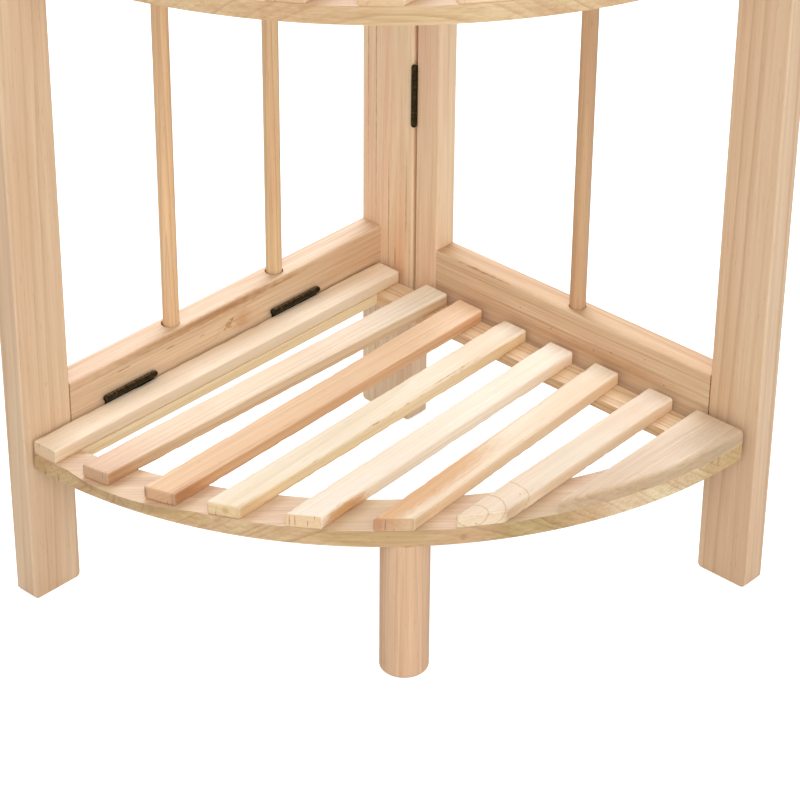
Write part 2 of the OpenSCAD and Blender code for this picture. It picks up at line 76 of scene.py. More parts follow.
class Graph:
    """Adds nodes to one tree, for shading or geometry, and links them."""

    def __init__(self, tree: NodeTree) -> None:
        """Keeps the tree that the nodes go into."""
        self.tree = tree

    def add(self, kind: str, **settings: object) -> bpy.types.Node:
        """Adds one node.

        Args:
            kind: The node's type name.
            settings: Properties of the node and their values.

        Returns:
            The new node.
        """
        node = self.tree.nodes.new(kind)
        for name, value in settings.items():
            setattr(node, name, value)
        return node

    def feed(self, socket: Socket, value: object) -> None:
        """Links value to the socket if it is a socket, and otherwise sets it there.

        Args:
            socket: The input to feed.
            value: Another node's output, or a plain value.
        """
        if isinstance(value, Socket):
            self.tree.links.new(value, socket)
        elif isinstance(value, (tuple, list, Vector)) and socket.type == "RGBA" and len(value) == 3:
            socket.default_value = (*value, 1.0)
        else:
            socket.default_value = value

    def call(self, kind: str, inputs: dict[str, object], out: str | int = 0,
             **settings: object) -> Socket:
        """Adds a node, feeds its named inputs and gives one of its outputs.

        Args:
            kind: The node's type name.
            inputs: Values or sockets by the input's name.
            out: The wanted output's name or place.
            settings: Properties of the node and their values.

        Returns:
            The output socket.
        """
        node = self.add(kind, **settings)
        for name, value in inputs.items():
            self.feed(node.inputs[name], value)
        return node.outputs[out]

    def math(self, operation: str, *values: object, clamp: bool = False) -> Socket:
        """Adds a Math node.

        Args:
            operation: The operation's name.
            values: Its numbers or sockets.
            clamp: Whether the result is held between 0 and 1.

        Returns:
            The result.
        """
        node = self.add("ShaderNodeMath", operation=operation, use_clamp=clamp)
        for socket, value in zip(node.inputs, values):
            self.feed(socket, value)
        return node.outputs[0]

    def times(self, first: object, second: object) -> Socket:
        """Multiplies two numbers."""
        return self.math("MULTIPLY", first, second)

    def plus(self, first: object, second: object) -> Socket:
        """Adds two numbers."""
        return self.math("ADD", first, second)

    def minus(self, first: object, second: object) -> Socket:
        """Takes the second number from the first."""
        return self.math("SUBTRACT", first, second)

    def times_plus(self, first: object, second: object, third: object) -> Socket:
        """Multiplies two numbers and adds a third."""
        return self.math("MULTIPLY_ADD", first, second, third)

    def vector(self, operation: str, *values: object) -> Socket:
        """Adds a Vector Math node.

        Args:
            operation: The operation's name.
            values: Its vectors or sockets.

        Returns:
            The result, a number where the operation gives one.
        """
        node = self.add("ShaderNodeVectorMath", operation=operation)
        for socket, value in zip(node.inputs, values):
            self.feed(socket, value)
        single = operation in {"DOT_PRODUCT", "LENGTH", "DISTANCE"}
        return node.outputs["Value" if single else "Vector"]

    def join(self, x: object, y: object, z: object) -> Socket:
        """Makes a vector of three numbers."""
        return self.call("ShaderNodeCombineXYZ", {"X": x, "Y": y, "Z": z})

    def shifted(self, place: object, amount: object) -> Socket:
        """Moves a place by the same amount along all three axes."""
        return self.vector("ADD", place, self.join(amount, amount, amount))

    def split(self, vector: object) -> tuple[Socket, ...]:
        """Gives a vector's three numbers.

        Args:
            vector: The vector, or its socket.

        Returns:
            The sockets of its x, y and z.
        """
        node = self.add("ShaderNodeSeparateXYZ")
        self.feed(node.inputs[0], vector)
        return tuple(node.outputs)

    def noise(self, place: object, stretch: tuple[float, float, float], detail: float = 2.0,
              roughness: float = 0.5) -> Socket:
        """Adds a noise whose cells are 1 / stretch long along each axis.

        Args:
            place: Where it is read.
            stretch: Cells per metre along each axis.
            detail: Number of finer layers.
            roughness: Strength of the finer layers.

        Returns:
            The noise, from 0 to 1.
        """
        scaled = self.vector("MULTIPLY", place, stretch)
        inputs = {"Vector": scaled, "Scale": 1.0, "Detail": detail, "Roughness": roughness}
        return self.call("ShaderNodeTexNoise", inputs, noise_dimensions="3D")

    def between(self, value: object, low: object, high: object, to_low: object = 0.0,
                to_high: object = 1.0) -> Socket:
        """Maps value smoothly from low..high to to_low..to_high, and holds it there.

        Args:
            value: The number to map.
            low: Where the mapped range starts.
            high: Where it ends.
            to_low: The result at low.
            to_high: The result at high.

        Returns:
            The mapped number.
        """
        inputs = {"Value": value, "From Min": low, "From Max": high, "To Min": to_low, "To Max": to_high}
        return self.call("ShaderNodeMapRange", inputs, interpolation_type="SMOOTHSTEP")

    def mix_colour(self, share: object, first: object, second: object,
                   how: str = "MIX") -> Socket:
        """Mixes two colours.

        Args:
            share: How much of the second there is.
            first: The colour at 0.
            second: The colour at 1.
            how: The blend's name.

        Returns:
            The mixed colour.
        """
        node = self.add("ShaderNodeMix", data_type="RGBA", blend_type=how)
        for place, value in ((0, share), (6, first), (7, second)):
            self.feed(node.inputs[place], value)
        return node.outputs[2]

    def place_group(self, group: NodeTree, inputs: dict[str, object]) -> bpy.types.Node:
        """Places a shader node group and feeds its inputs.

        Args:
            group: The node group.
            inputs: Values or sockets by the input's name.

        Returns:
            The group's node.
        """
        node = self.add("ShaderNodeGroup", node_tree=group)
        for name, value in inputs.items():
            self.feed(node.inputs[name], value)
        return node


class Kind(Enum):
    """The kinds of socket that node groups and trees have here."""

    FLOAT = "NodeSocketFloat"
    VECTOR = "NodeSocketVector"
    COLOUR = "NodeSocketColor"
    GEOMETRY = "NodeSocketGeometry"
    OBJECT = "NodeSocketObject"
    MATERIAL = "NodeSocketMaterial"

    def of(self, *names: str) -> dict[str, "Kind"]:
        """Gives every name this kind."""
        return dict.fromkeys(names, self)


class GroupGraph(Graph):
    """A node group with named inputs and outputs."""

    def __init__(self, name: str, tree_type: str, inputs: dict[str, Kind],
                 outputs: dict[str, Kind]) -> None:
        """Makes the group and its sockets.

        Args:
            name: The group's name.
            tree_type: ShaderNodeTree or GeometryNodeTree.
            inputs: The kinds of its inputs by name.
            outputs: The kinds of its outputs by name.
        """
        super().__init__(bpy.data.node_groups.new(name, tree_type))
        self.ids: dict[str, str] = {}
        for in_out, sockets in (("INPUT", inputs), ("OUTPUT", outputs)):
            for label, kind in sockets.items():
                made = self.tree.interface.new_socket(name=label, in_out=in_out, socket_type=kind.value)
                if in_out == "INPUT":
                    self.ids[label] = made.identifier
        self.start = self.add("NodeGroupInput")
        self.end = self.add("NodeGroupOutput")

    def given(self, name: str) -> Socket:
        """Gives one of the group's own inputs."""
        return self.start.outputs[name]

    def put(self, name: str, value: object) -> None:
        """Feeds one of the group's outputs."""
        self.feed(self.end.inputs[name], value)


# Shader groups that the finishes share


def board_place_group() -> NodeTree:
    """Builds the group that turns Object coordinates into a board's own across, through and along.

    Returns:
        The node group.
    """
    inputs = Kind.VECTOR.of("Vector", "Middle", "Across", "Along")
    g = GroupGraph("Board place", "ShaderNodeTree", inputs, Kind.VECTOR.of("Place"))
    local = g.vector("SUBTRACT", g.given("Vector"), g.given("Middle"))
    through = g.vector("CROSS_PRODUCT", g.given("Along"), g.given("Across"))
    parts = [g.vector("DOT_PRODUCT", local, axis) for axis in (g.given("Across"), through, g.given("Along"))]
    g.put("Place", g.join(*parts))
    return g.tree


def pine_grain_group() -> NodeTree:
    """Builds the group that draws year rings, streaks, fibres and warm bands through the whole board.

    Returns:
        The node group.
    """
    inputs = Kind.VECTOR.of("Place") | Kind.COLOUR.of("Early", "Late", "Blush") | Kind.FLOAT.of(
        "Seed", "Swirl", "Pith Across", "Pith Through", "Ring Width", "Waviness", "Taper",
        "Ring Contrast", "Streak Contrast", "Blush Share", "Board Spread")
    outputs = Kind.COLOUR.of("Color") | Kind.FLOAT.of("Rings", "Fibres")
    seed_step = (1.7, 0.9, 3.1)
    drift_cells = (16, 16, 2.6)
    drift_shifts = ((0.0, 0.0, 0.0), (3.1, 7.3, 1.9))
    uneven_width = 2.6
    late_rise = 2.6
    late_end = 0.84
    streak_cells = (520, 520, 9)
    fibre_cells = (1700, 1700, 30)
    fleck_cells = (1000, 1000, 110)
    patch_cells = (40, 40, 6)
    streak_share = 0.62
    patch_share = 0.6
    fleck_share = 0.16
    swing_shares = (0.8, 1.1, 1.5)
    darkest_board = (0.80, 0.70, 0.58)
    g = GroupGraph("Pine grain", "ShaderNodeTree", inputs, outputs)
    seed = g.given("Seed")
    offset = g.vector("MULTIPLY", g.join(seed, seed, seed), seed_step)
    place = g.vector("ADD", g.given("Place"), offset)
    across, through, along = g.split(g.given("Place"))

    drifts = []
    for shift in drift_shifts:
        drift = g.noise(g.vector("ADD", place, shift), drift_cells, detail=3)
        drifts.append(g.times(g.minus(drift, 0.5), g.given("Waviness")))
    from_pith = [
        g.plus(g.minus(across, g.given("Pith Across")), drifts[0]),
        g.plus(g.minus(through, g.given("Pith Through")), drifts[1]),
    ]
    radius = g.vector("LENGTH", g.join(from_pith[0], from_pith[1], 0.0))
    radius = g.times_plus(along, g.given("Taper"), radius)
    ring = g.math("DIVIDE", g.plus(radius, g.given("Swirl")), g.given("Ring Width"))
    width_noise = g.noise(g.join(ring, seed, 0.0), (0.37, 1, 1))
    ring = g.plus(ring, g.times(width_noise, uneven_width))
    phase = g.math("FRACT", ring)
    rise = g.math("POWER", phase, late_rise)
    fall = g.between(phase, late_end, 1.0, 1.0, 0.0)
    which = g.plus(g.math("FLOOR", ring), seed)
    strength = g.call("ShaderNodeTexWhiteNoise", {"W": which}, noise_dimensions="1D")
    strength = g.times_plus(g.math("POWER", strength, 1.8), 0.9, 0.1)
    rings = g.times(g.times(rise, fall), strength)

    band = g.noise(g.join(g.times(ring, 0.45), seed, g.times(along, 3.0)), (1, 1, 1))
    streak = g.noise(place, streak_cells, detail=3, roughness=0.65)
    fine = g.noise(place, fibre_cells, detail=2, roughness=0.6)
    fibres = g.plus(g.times(streak, streak_share), g.times(fine, 1.0 - streak_share))
    flecks = g.between(g.noise(place, fleck_cells, detail=1), 0.66, 0.76)
    patches = g.times(g.noise(place, patch_cells, detail=2), patch_share)
    patches = g.between(g.plus(patches, g.times(band, 1.0 - patch_share)), 0.40, 0.60)

    colour = g.mix_colour(g.times(patches, g.given("Blush Share")), g.given("Early"), g.given("Blush"))
    colour = g.mix_colour(g.times(rings, g.given("Ring Contrast")), colour, g.given("Late"))
    swing = g.times(g.minus(fibres, 0.5), g.given("Streak Contrast"))
    fleck_depth = g.times(g.given("Ring Contrast"), fleck_share)
    swing = g.minus(swing, g.times(flecks, fleck_depth))
    parts = [g.times_plus(swing, share, 1.0) for share in swing_shares]
    colour = g.vector("MULTIPLY", colour, g.join(*parts))
    depth = g.times(g.math("FRACT", seed), g.given("Board Spread"))
    darker = g.vector("MULTIPLY", colour, darkest_board)
    g.put("Color", g.mix_colour(depth, colour, darker))
    g.put("Rings", rings)
    g.put("Fibres", fibres)
    return g.tree


def mark_group() -> NodeTree:
    """Builds the group that finds one mark in a board: an oval, or a ring's line where Line is above 0.

    Returns:
        The node group.
    """
    inputs = Kind.VECTOR.of("Place", "Centre", "Size") | Kind.FLOAT.of("Softness", "Ragged", "Line", "Seed")
    ragged_cells = (620, 620, 170)
    thinnest_line = 0.0001
    swirl_fall = 0.4
    g = GroupGraph("Mark", "ShaderNodeTree", inputs, Kind.FLOAT.of("Mask", "Swirl"))
    local = g.vector("DIVIDE", g.vector("SUBTRACT", g.given("Place"), g.given("Centre")), g.given("Size"))
    distance = g.vector("LENGTH", local)
    uneven = g.noise(g.shifted(g.given("Place"), g.given("Seed")), ragged_cells, detail=2)
    shaken = g.times_plus(g.minus(uneven, 0.5), g.given("Ragged"), distance)
    oval = g.between(shaken, g.minus(1.0, g.given("Softness")), 1.0, 1.0, 0.0)
    off_line = g.math("ABSOLUTE", g.minus(shaken, 1.0))
    line = g.between(off_line, 0.0, g.math("MAXIMUM", g.given("Line"), thinnest_line), 1.0, 0.0)
    is_line = g.math("GREATER_THAN", g.given("Line"), 0.0)
    mask = g.times_plus(g.minus(line, oval), is_line, oval)
    g.put("Mask", mask)
    near = g.times(distance, swirl_fall)
    g.put("Swirl", g.math("EXPONENT", g.times(g.times(near, near), -1.0)))
    return g.tree


def sawn_end_group() -> NodeTree:
    """Builds the group that darkens cut ends and gives them pores, checks and saw marks.

    Returns:
        The node group.
    """
    inputs = Kind.COLOUR.of("Color", "Tone") | Kind.VECTOR.of("Place", "Normal", "Along")
    inputs |= Kind.FLOAT.of("Seed", "Checks")
    outputs = Kind.COLOUR.of("Color") | Kind.FLOAT.of("Mask", "Height")
    pore_cells = (1900, 1900, 1900)
    check_cells = (620, 60, 60)
    saw_cells = (90, 1300, 90)
    check_depth = 0.55
    saw_height = 0.6
    g = GroupGraph("Sawn end", "ShaderNodeTree", inputs, outputs)
    facing = g.math("ABSOLUTE", g.vector("DOT_PRODUCT", g.given("Normal"), g.given("Along")))
    mask = g.between(facing, 0.45, 0.8)
    place = g.shifted(g.given("Place"), g.given("Seed"))
    pores = g.noise(place, pore_cells, detail=2)
    lines = g.noise(place, check_cells, detail=1)
    checks = g.times(g.between(lines, 0.66, 0.72), g.given("Checks"))
    marks = g.noise(place, saw_cells, detail=1)
    shade = g.minus(g.between(pores, 0.3, 0.7, 0.9, 1.08), g.times(checks, check_depth))
    cut = g.vector("MULTIPLY", g.given("Color"), g.given("Tone"))
    cut = g.vector("MULTIPLY", cut, g.join(shade, shade, shade))
    g.put("Color", g.mix_colour(mask, g.given("Color"), cut))
    g.put("Mask", mask)
    height = g.minus(g.plus(pores, g.times(marks, saw_height)), checks)
    g.put("Height", g.times(height, mask))
    return g.tree


def side_tone_and_light_group() -> NodeTree:
    """Builds the group that tones a board's narrow sides, partly for the other cut of the log that they show
    and partly as painted light and shade for how light falls on them.

    Returns:
        The node group.
    """
    inputs = Kind.COLOUR.of("Color", "Tone") | Kind.VECTOR.of("Normal", "Through")
    g = GroupGraph("Side tone", "ShaderNodeTree", inputs, Kind.COLOUR.of("Color"))
    facing = g.math("ABSOLUTE", g.vector("DOT_PRODUCT", g.given("Normal"), g.given("Through")))
    side = g.between(facing, 0.35, 0.85, 1.0, 0.0)
    toned_and_lit = g.vector("MULTIPLY", g.given("Color"), g.given("Tone"))
    g.put("Color", g.mix_colour(side, g.given("Color"), toned_and_lit))
    return g.tree


def arris_wear_group() -> NodeTree:
    """Builds the group that marks the worn long edges of a straight board.

    Returns:
        The node group.
    """
    inputs = Kind.VECTOR.of("Place") | Kind.FLOAT.of("Half Across", "Half Through", "Reach", "Seed")
    wear_cells = (260, 260, 130)
    g = GroupGraph("Arris wear", "ShaderNodeTree", inputs, Kind.FLOAT.of("Wear"))
    across, through, _ = g.split(g.given("Place"))
    gaps = [
        g.minus(g.given("Half Across"), g.math("ABSOLUTE", across)),
        g.minus(g.given("Half Through"), g.math("ABSOLUTE", through)),
    ]
    near = g.math("MAXIMUM", *gaps)
    uneven = g.noise(g.shifted(g.given("Place"), g.given("Seed")), wear_cells, detail=3)
    reach = g.times(g.given("Reach"), g.between(uneven, 0.3, 0.7, 0.35, 1.5))
    g.put("Wear", g.between(near, 0.0, reach, 1.0, 0.0))
    return g.tree


def patina_group() -> NodeTree:
    """Builds the group that wears a metal's coating unevenly and paints a highlight along its upward-facing
    tops.

    Returns:
        The node group.
    """
    inputs = Kind.VECTOR.of("Vector", "Normal") | Kind.COLOUR.of("Dark", "Bright")
    inputs |= Kind.FLOAT.of("Wear", "Top Highlight")
    outputs = Kind.COLOUR.of("Color") | Kind.FLOAT.of("Roughness", "Height")
    cloud_cells = (420, 420, 420)
    grain_cells = (3200, 3200, 3200)
    g = GroupGraph("Patina", "ShaderNodeTree", inputs, outputs)
    clouds = g.noise(g.given("Vector"), cloud_cells, detail=4, roughness=0.65)
    grains = g.noise(g.given("Vector"), grain_cells, detail=2)
    wear_and_highlight = g.times(g.between(clouds, 0.5, 0.75), g.given("Wear"))
    # Painted highlight: upward-facing tops are brightened where no lamp's reflection reaches them
    painted_highlight_mask = g.between(g.split(g.given("Normal"))[2], 0.80, 0.99)
    painted_highlight_mask = g.times(painted_highlight_mask, g.between(g.plus(clouds, grains), 0.75, 1.2))
    wear_and_highlight = g.math("MULTIPLY_ADD", painted_highlight_mask, g.given("Top Highlight"), wear_and_highlight, clamp=True)
    g.put("Color", g.mix_colour(wear_and_highlight, g.given("Dark"), g.given("Bright")))
    rough = g.plus(clouds, g.times(grains, 0.3))
    g.put("Roughness", g.between(rough, 0.4, 0.9, 0.24, 0.46))
    g.put("Height", g.plus(grains, clouds))
    return g.tree


@dataclass
class ShaderKit:
    """The shader groups, built once and placed in each material."""

    board_place: NodeTree = field(default_factory=board_place_group)
    pine_grain: NodeTree = field(default_factory=pine_grain_group)
    mark: NodeTree = field(default_factory=mark_group)
    sawn_end: NodeTree = field(default_factory=sawn_end_group)
    side_tone: NodeTree = field(default_factory=side_tone_and_light_group)
    arris_wear: NodeTree = field(default_factory=arris_wear_group)
    patina: NodeTree = field(default_factory=patina_group)


class MaterialGraph(Graph):
    """A material's own node tree with its Principled BSDF."""

    def __init__(self, name: str) -> None:
        """Makes the material with an empty tree and one shader.

        Args:
            name: The material's name.
        """
        self.material = bpy.data.materials.new(name)
        self.material.use_nodes = True
        super().__init__(self.material.node_tree)
        self.tree.nodes.clear()
        self.shader = self.add("ShaderNodeBsdfPrincipled")
        out = self.add("ShaderNodeOutputMaterial")
        self.tree.links.new(self.shader.outputs[0], out.inputs["Surface"])

    def set(self, **values: object) -> None:
        """Feeds the shader's inputs, whose names have _ for a space."""
        for name, value in values.items():
            self.feed(self.shader.inputs[name.replace("_", " ")], value)

    def bump(self, height: object, strength: float, distance: float) -> None:
        """Gives the shader a bump.

        Args:
            height: The socket that gives the height.
            strength: The bump's strength.
            distance: The height of 1, in metres.
        """
        inputs = {"Height": height, "Strength": strength, "Distance": distance}
        self.feed(self.shader.inputs["Normal"], self.call("ShaderNodeBump", inputs))


class Axis(Enum):
    """The ways a board can lie: its across and along directions in the row's frame."""

    UP_FACING_Y = ((1, 0, 0), (0, 0, 1))
    UP_FACING_X = ((0, 1, 0), (0, 0, 1))
    ALONG_Y = ((1, 0, 0), (0, 1, 0))
    ALONG_X = ((0, 1, 0), (1, 0, 0))
    RAIL_Y = ((0, 0, 1), (0, 1, 0))
    RAIL_X = ((0, 0, 1), (1, 0, 0))
    CHORD = ((0.70711, -0.70711, 0), (0.70711, 0.70711, 0))


@dataclass(frozen=True)
class Mark:
    """A knot, streak, check, speck or patch, or a patch of painted light or shade, in millimetres from the
    middle of its board.
    """

    at: Place
    size: Place
    tint: Colour
    share: float = 1.0
    softness: float = 0.6
    ragged: float = 0.5
    line: float = 0.0
    swirl: float = 0.0
    dent: float = 0.0


@dataclass(frozen=True)
class Pine:
    """Bare planed pine: its colours, and how its log grew."""

    early: Colour
    late: Colour
    blush: Colour
    ring_width: float = 3.0
    pith: tuple[float, float] = (26.0, -40.0)
    waviness: float = 7.0
    taper: float = 0.012
    ring_contrast: float = 0.6
    streak_contrast: float = 0.5
    blush_share: float = 0.6
    board_spread: float = 0.0
    end_tone: Colour = (0.84, 0.71, 0.55)
    # Tone of the narrow sides: partly the log's other cut, partly painted light and shade
    side_tone: Colour = (1.0, 1.0, 1.0)
    checks: float = 1.0
    wear_reach: float = 0.9
    marks: tuple[Mark, ...] = ()
    seed: float = 0.0

    def next_board(self, step: float) -> "Pine":
        """Gives the same pine as another board of it, whose seed is a step on."""
        return replace(self, seed=self.seed + step)

    def draw(self, kit: ShaderKit, name: str, place: "PlaceSource") -> bpy.types.Material:
        """Builds the material for one board or one set of boards.

        Args:
            kit: The shared shader groups.
            name: The material's name.
            place: Where the board's own coordinates come from.

        Returns:
            The material.
        """
        ring_relief = 0.35
        worn_share, worn_tone = 0.16, (0.98, 0.90, 0.78)
        end_roughness = 0.15
        bump_strength, bump_height = 0.35, 0.12
        g = MaterialGraph(name)
        at, seed, wear = place.sockets(g, kit, self)
        swirl: object = 0.0
        masks = []
        for mark in self.marks:
            found = g.place_group(kit.mark, {
                "Place": at, "Centre": Vector(mark.at) * MM, "Size": Vector(mark.size) * MM,
                "Softness": mark.softness, "Ragged": mark.ragged, "Line": mark.line, "Seed": seed,
            })
            masks.append(found.outputs["Mask"])
            if mark.swirl:
                swirl = g.times_plus(found.outputs["Swirl"], mark.swirl * MM, swirl)
        grain = g.place_group(kit.pine_grain, {
            "Place": at, "Seed": seed, "Swirl": swirl,
            "Pith Across": self.pith[0] * MM, "Pith Through": self.pith[1] * MM,
            "Ring Width": self.ring_width * MM, "Waviness": self.waviness * MM, "Taper": self.taper,
            "Ring Contrast": self.ring_contrast, "Streak Contrast": self.streak_contrast,
            "Blush Share": self.blush_share, "Board Spread": self.board_spread,
            "Early": self.early, "Late": self.late, "Blush": self.blush,
        })
        normal = g.add("ShaderNodeTexCoord").outputs["Normal"]
        toned_and_lit = g.place_group(kit.side_tone, {
            "Color": grain.outputs["Color"], "Tone": self.side_tone, "Normal": normal,
            "Through": place.through(),
        })
        end = g.place_group(kit.sawn_end, {
            "Color": toned_and_lit.outputs["Color"], "Tone": self.end_tone, "Place": at, "Normal": normal,
            "Along": place.along(), "Seed": seed, "Checks": self.checks,
        })
        colour = end.outputs["Color"]
        fibres = grain.outputs["Fibres"]
        relief = g.times_plus(grain.outputs["Rings"], ring_relief, fibres)
        relief = g.plus(relief, end.outputs["Height"])
        for mark, mask in zip(self.marks, masks):
            colour = g.mix_colour(g.times(mask, mark.share), colour,
                                  g.vector("MULTIPLY", colour, mark.tint))
            if mark.dent:
                relief = g.times_plus(mask, -mark.dent, relief)
        tint = g.mix_colour(g.times(wear, worn_share), colour, worn_tone)
        rough = g.between(fibres, 0.3, 0.7, 0.5, 0.68)
        rough = g.plus(rough, g.times(end.outputs["Mask"], end_roughness))
        g.set(Base_Color=tint, Roughness=rough, Specular_IOR_Level=0.3)
        g.bump(relief, bump_strength, bump_height * MM)
        return g.material


class PlaceSource:
    """Tells a pine material where its board's own coordinates come from."""

    def along(self) -> Place:
        """Gives the direction of the grain."""
        raise NotImplementedError

    def through(self) -> Place:
        """Gives the direction through the board's thickness."""
        raise NotImplementedError

    def sockets(self, g: MaterialGraph, kit: ShaderKit, pine: Pine) -> tuple[object, object, object]:
        """Gives the board's coordinates, its seed and its wear."""
        raise NotImplementedError


@dataclass
class NodePlace(PlaceSource):
    """A straight board that the frame carries: its coordinates come from its box."""

    node: str
    axis: Axis

    def along(self) -> Place:
        """Gives the direction of the grain."""
        return self.axis.value[1]

    def through(self) -> Place:
        """Gives the direction through the board's thickness."""
        across, along = (Vector(axis) for axis in self.axis.value)
        return tuple(along.cross(across))

    def sockets(self, g: MaterialGraph, kit: ShaderKit, pine: Pine) -> tuple[object, object, object]:
        """Builds the nodes that find a point's place in the board.

        Args:
            g: The material's graph.
            kit: The shared shader groups.
            pine: The finish.

        Returns:
            The sockets for the place and the wear, and the seed.
        """
        low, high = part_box(self.node)
        across, along = (Vector(axis) for axis in self.axis.value)
        through = along.cross(across)
        half = (high - low) / 2
        coordinates = g.add("ShaderNodeTexCoord").outputs["Object"]
        place = g.place_group(kit.board_place, {
            "Vector": coordinates, "Middle": (low + high) / 2, "Across": across, "Along": along,
        }).outputs["Place"]
        wear = g.place_group(kit.arris_wear, {
            "Place": place, "Half Across": abs(half.dot(across)), "Half Through": abs(half.dot(through)),
            "Reach": pine.wear_reach * MM, "Seed": pine.seed,
        }).outputs["Wear"]
        return place, pine.seed, wear


@dataclass
class MadePlace(PlaceSource):
    """Boards made here: their coordinates, seeds and wear are stored on their points."""

    direction: Place = (0.0, 1.0, 0.0)

    def along(self) -> Place:
        """Gives the direction of the grain."""
        return self.direction

    def through(self) -> Place:
        """Gives the direction through the board's thickness."""
        return tuple(Vector(self.direction).cross(Vector((1.0, 0.0, 0.0))))

    def sockets(self, g: MaterialGraph, kit: ShaderKit, pine: Pine) -> tuple[object, object, object]:
        """Reads the stored coordinates, seeds and wear.

        Args:
            g: The material's graph.
            kit: The shared shader groups, unused here.
            pine: The finish, unused here.

        Returns:
            The sockets for the place, the seed and the wear.
        """
        found = [g.add("ShaderNodeAttribute", attribute_name=name) for name in ("board", "seed", "wear")]
        return found[0].outputs["Vector"], found[1].outputs["Fac"], found[2].outputs["Fac"]


@dataclass(frozen=True)
class Metal:
    """A coated metal whose coating is rubbed bright in places, with a painted highlight along its
    upward-facing tops.
    """

    name: str
    dark: Colour
    bright: Colour
    metallic: float
    wear: float
    top_highlight: float = 0.0
    bump_strength: float = 0.25
    bump_height: float = 0.05

    def draw(self, kit: ShaderKit) -> bpy.types.Material:
        """Builds the material.

        Args:
            kit: The shared shader groups.

        Returns:
            The material.
        """
        g = MaterialGraph(self.name)
        coordinates = g.add("ShaderNodeTexCoord")
        patina = g.place_group(kit.patina, {
            "Vector": coordinates.outputs["Object"], "Normal": coordinates.outputs["Normal"],
            "Dark": self.dark, "Bright": self.bright, "Wear": self.wear, "Top Highlight": self.top_highlight,
        })
        g.set(Base_Color=patina.outputs["Color"], Roughness=patina.outputs["Roughness"],
              Metallic=self.metallic)
        g.bump(patina.outputs["Height"], self.bump_strength, self.bump_height * MM)
        return g.material


DARK_FIBRE: Colour = (0.42, 0.28, 0.18)


def rail_speck(across: float, run: float, wide: float, tall: float) -> Mark:
    """Gives a small dark pit in a rail's inner face."""
    return Mark((across, 8.5, run), (wide, 2, tall), DARK_FIBRE, dent=0.8)


def rail_fibre(across: float, run: float, wide: float, reach: float) -> Mark:
    """Gives a short dark streak in a rail's inner face."""
    return Mark((across, 8.5, run), (wide, 3, reach), DARK_FIBRE, ragged=1.4, share=0.8)


def front_shade(run: float, tint: Colour = (0.80, 0.70, 0.60)) -> Mark:
    """Gives the mark of painted shade on a slat's right side at its front end, which starts at the given run.
    """
    return Mark((9.8, 0, run), (3.2, 14, 30), tint, softness=1.0, ragged=0.3)


def end_check(across: float, run: float) -> Mark:
    """Gives a crack in a slat's front end."""
    return Mark((across, 0, run), (0.35, 5, 6), DARK_FIBRE, dent=1.5)


# Painted warm bounce light on the lower part of each slat
PAINTED_WARM_BOUNCE = Mark((0, -5.5, 0), (60, 6, 900), (1.0, 0.90, 0.74), softness=1.0, ragged=0.2)
PEACH_BACK = Mark((0, 0, 90), (60, 40, 60), (0.97, 0.90, 0.84), softness=1.0, ragged=0.3)
# Painted light brightening the tops of the slats' back ends, which the rails, posts and the shelf above shade
END_PAINTED_LIGHT = Mark((0, 4.5, 122), (40, 6, 34), (1.12, 1.20, 1.32), softness=1.0, ragged=0.3)
BACK_PAINTED_LIGHT = Mark((0, 4, 122), (20, 5, 34), (1.12, 1.18, 1.24), softness=1.0, ragged=0.3)

FRAME_PINE = Pine(early=(0.86, 0.655, 0.445), late=(0.56, 0.33, 0.18), blush=(0.81, 0.545, 0.365),
                  ring_width=4.6, ring_contrast=0.6, blush_share=0.85, streak_contrast=0.65)
FRONT_PINE = Pine(early=(0.72, 0.53, 0.355), late=(0.44, 0.26, 0.14),
                  blush=(0.68, 0.455, 0.29), ring_width=5.2, ring_contrast=0.7, pith=(34.0, -46.0))
RAIL_PINE = Pine(early=(0.70, 0.515, 0.34), late=(0.42, 0.24, 0.13), blush=(0.65, 0.435, 0.275),
                 ring_width=3.4, pith=(60.0, 18.0), ring_contrast=0.5, streak_contrast=1.15, waviness=12.0,
                 blush_share=0.9)
ROD_PINE = Pine(early=(0.79, 0.57, 0.30), late=(0.42, 0.19, 0.07), blush=(0.72, 0.43, 0.19),
                ring_width=2.6, ring_contrast=1.0, pith=(5.0, -7.0), waviness=6.0, board_spread=1.0,
                streak_contrast=0.9, blush_share=0.9)
RIGHT_ROD_PINE = replace(ROD_PINE, early=(0.68, 0.45, 0.225), late=(0.34, 0.15, 0.05),
                         blush=(0.61, 0.33, 0.14))
# The left batten's colours are raised as painted light on its side, which lies in shade under slat 1
LEFT_BATTEN_PINE = Pine(early=(0.93, 0.78, 0.52), late=(0.78, 0.52, 0.27),
                        blush=(0.92, 0.70, 0.40), ring_width=2.6, ring_contrast=0.7, waviness=8.0,
                        seed=3.1)
RIGHT_BATTEN_PINE = Pine(early=(0.80, 0.61, 0.40), late=(0.46, 0.26, 0.13),
                         blush=(0.77, 0.53, 0.34), ring_width=2.4, ring_contrast=1.0, waviness=13.0,
                         pith=(14.0, -16.0), streak_contrast=1.0, side_tone=(0.92, 0.84, 0.72), seed=4.4)
LEG_PINE = Pine(early=(0.745, 0.505, 0.33), late=(0.52, 0.29, 0.16), blush=(0.74, 0.46, 0.30),
                ring_width=3.2, ring_contrast=0.65, pith=(30.0, -22.0), streak_contrast=0.7,
                wear_reach=0.01, seed=1.2)
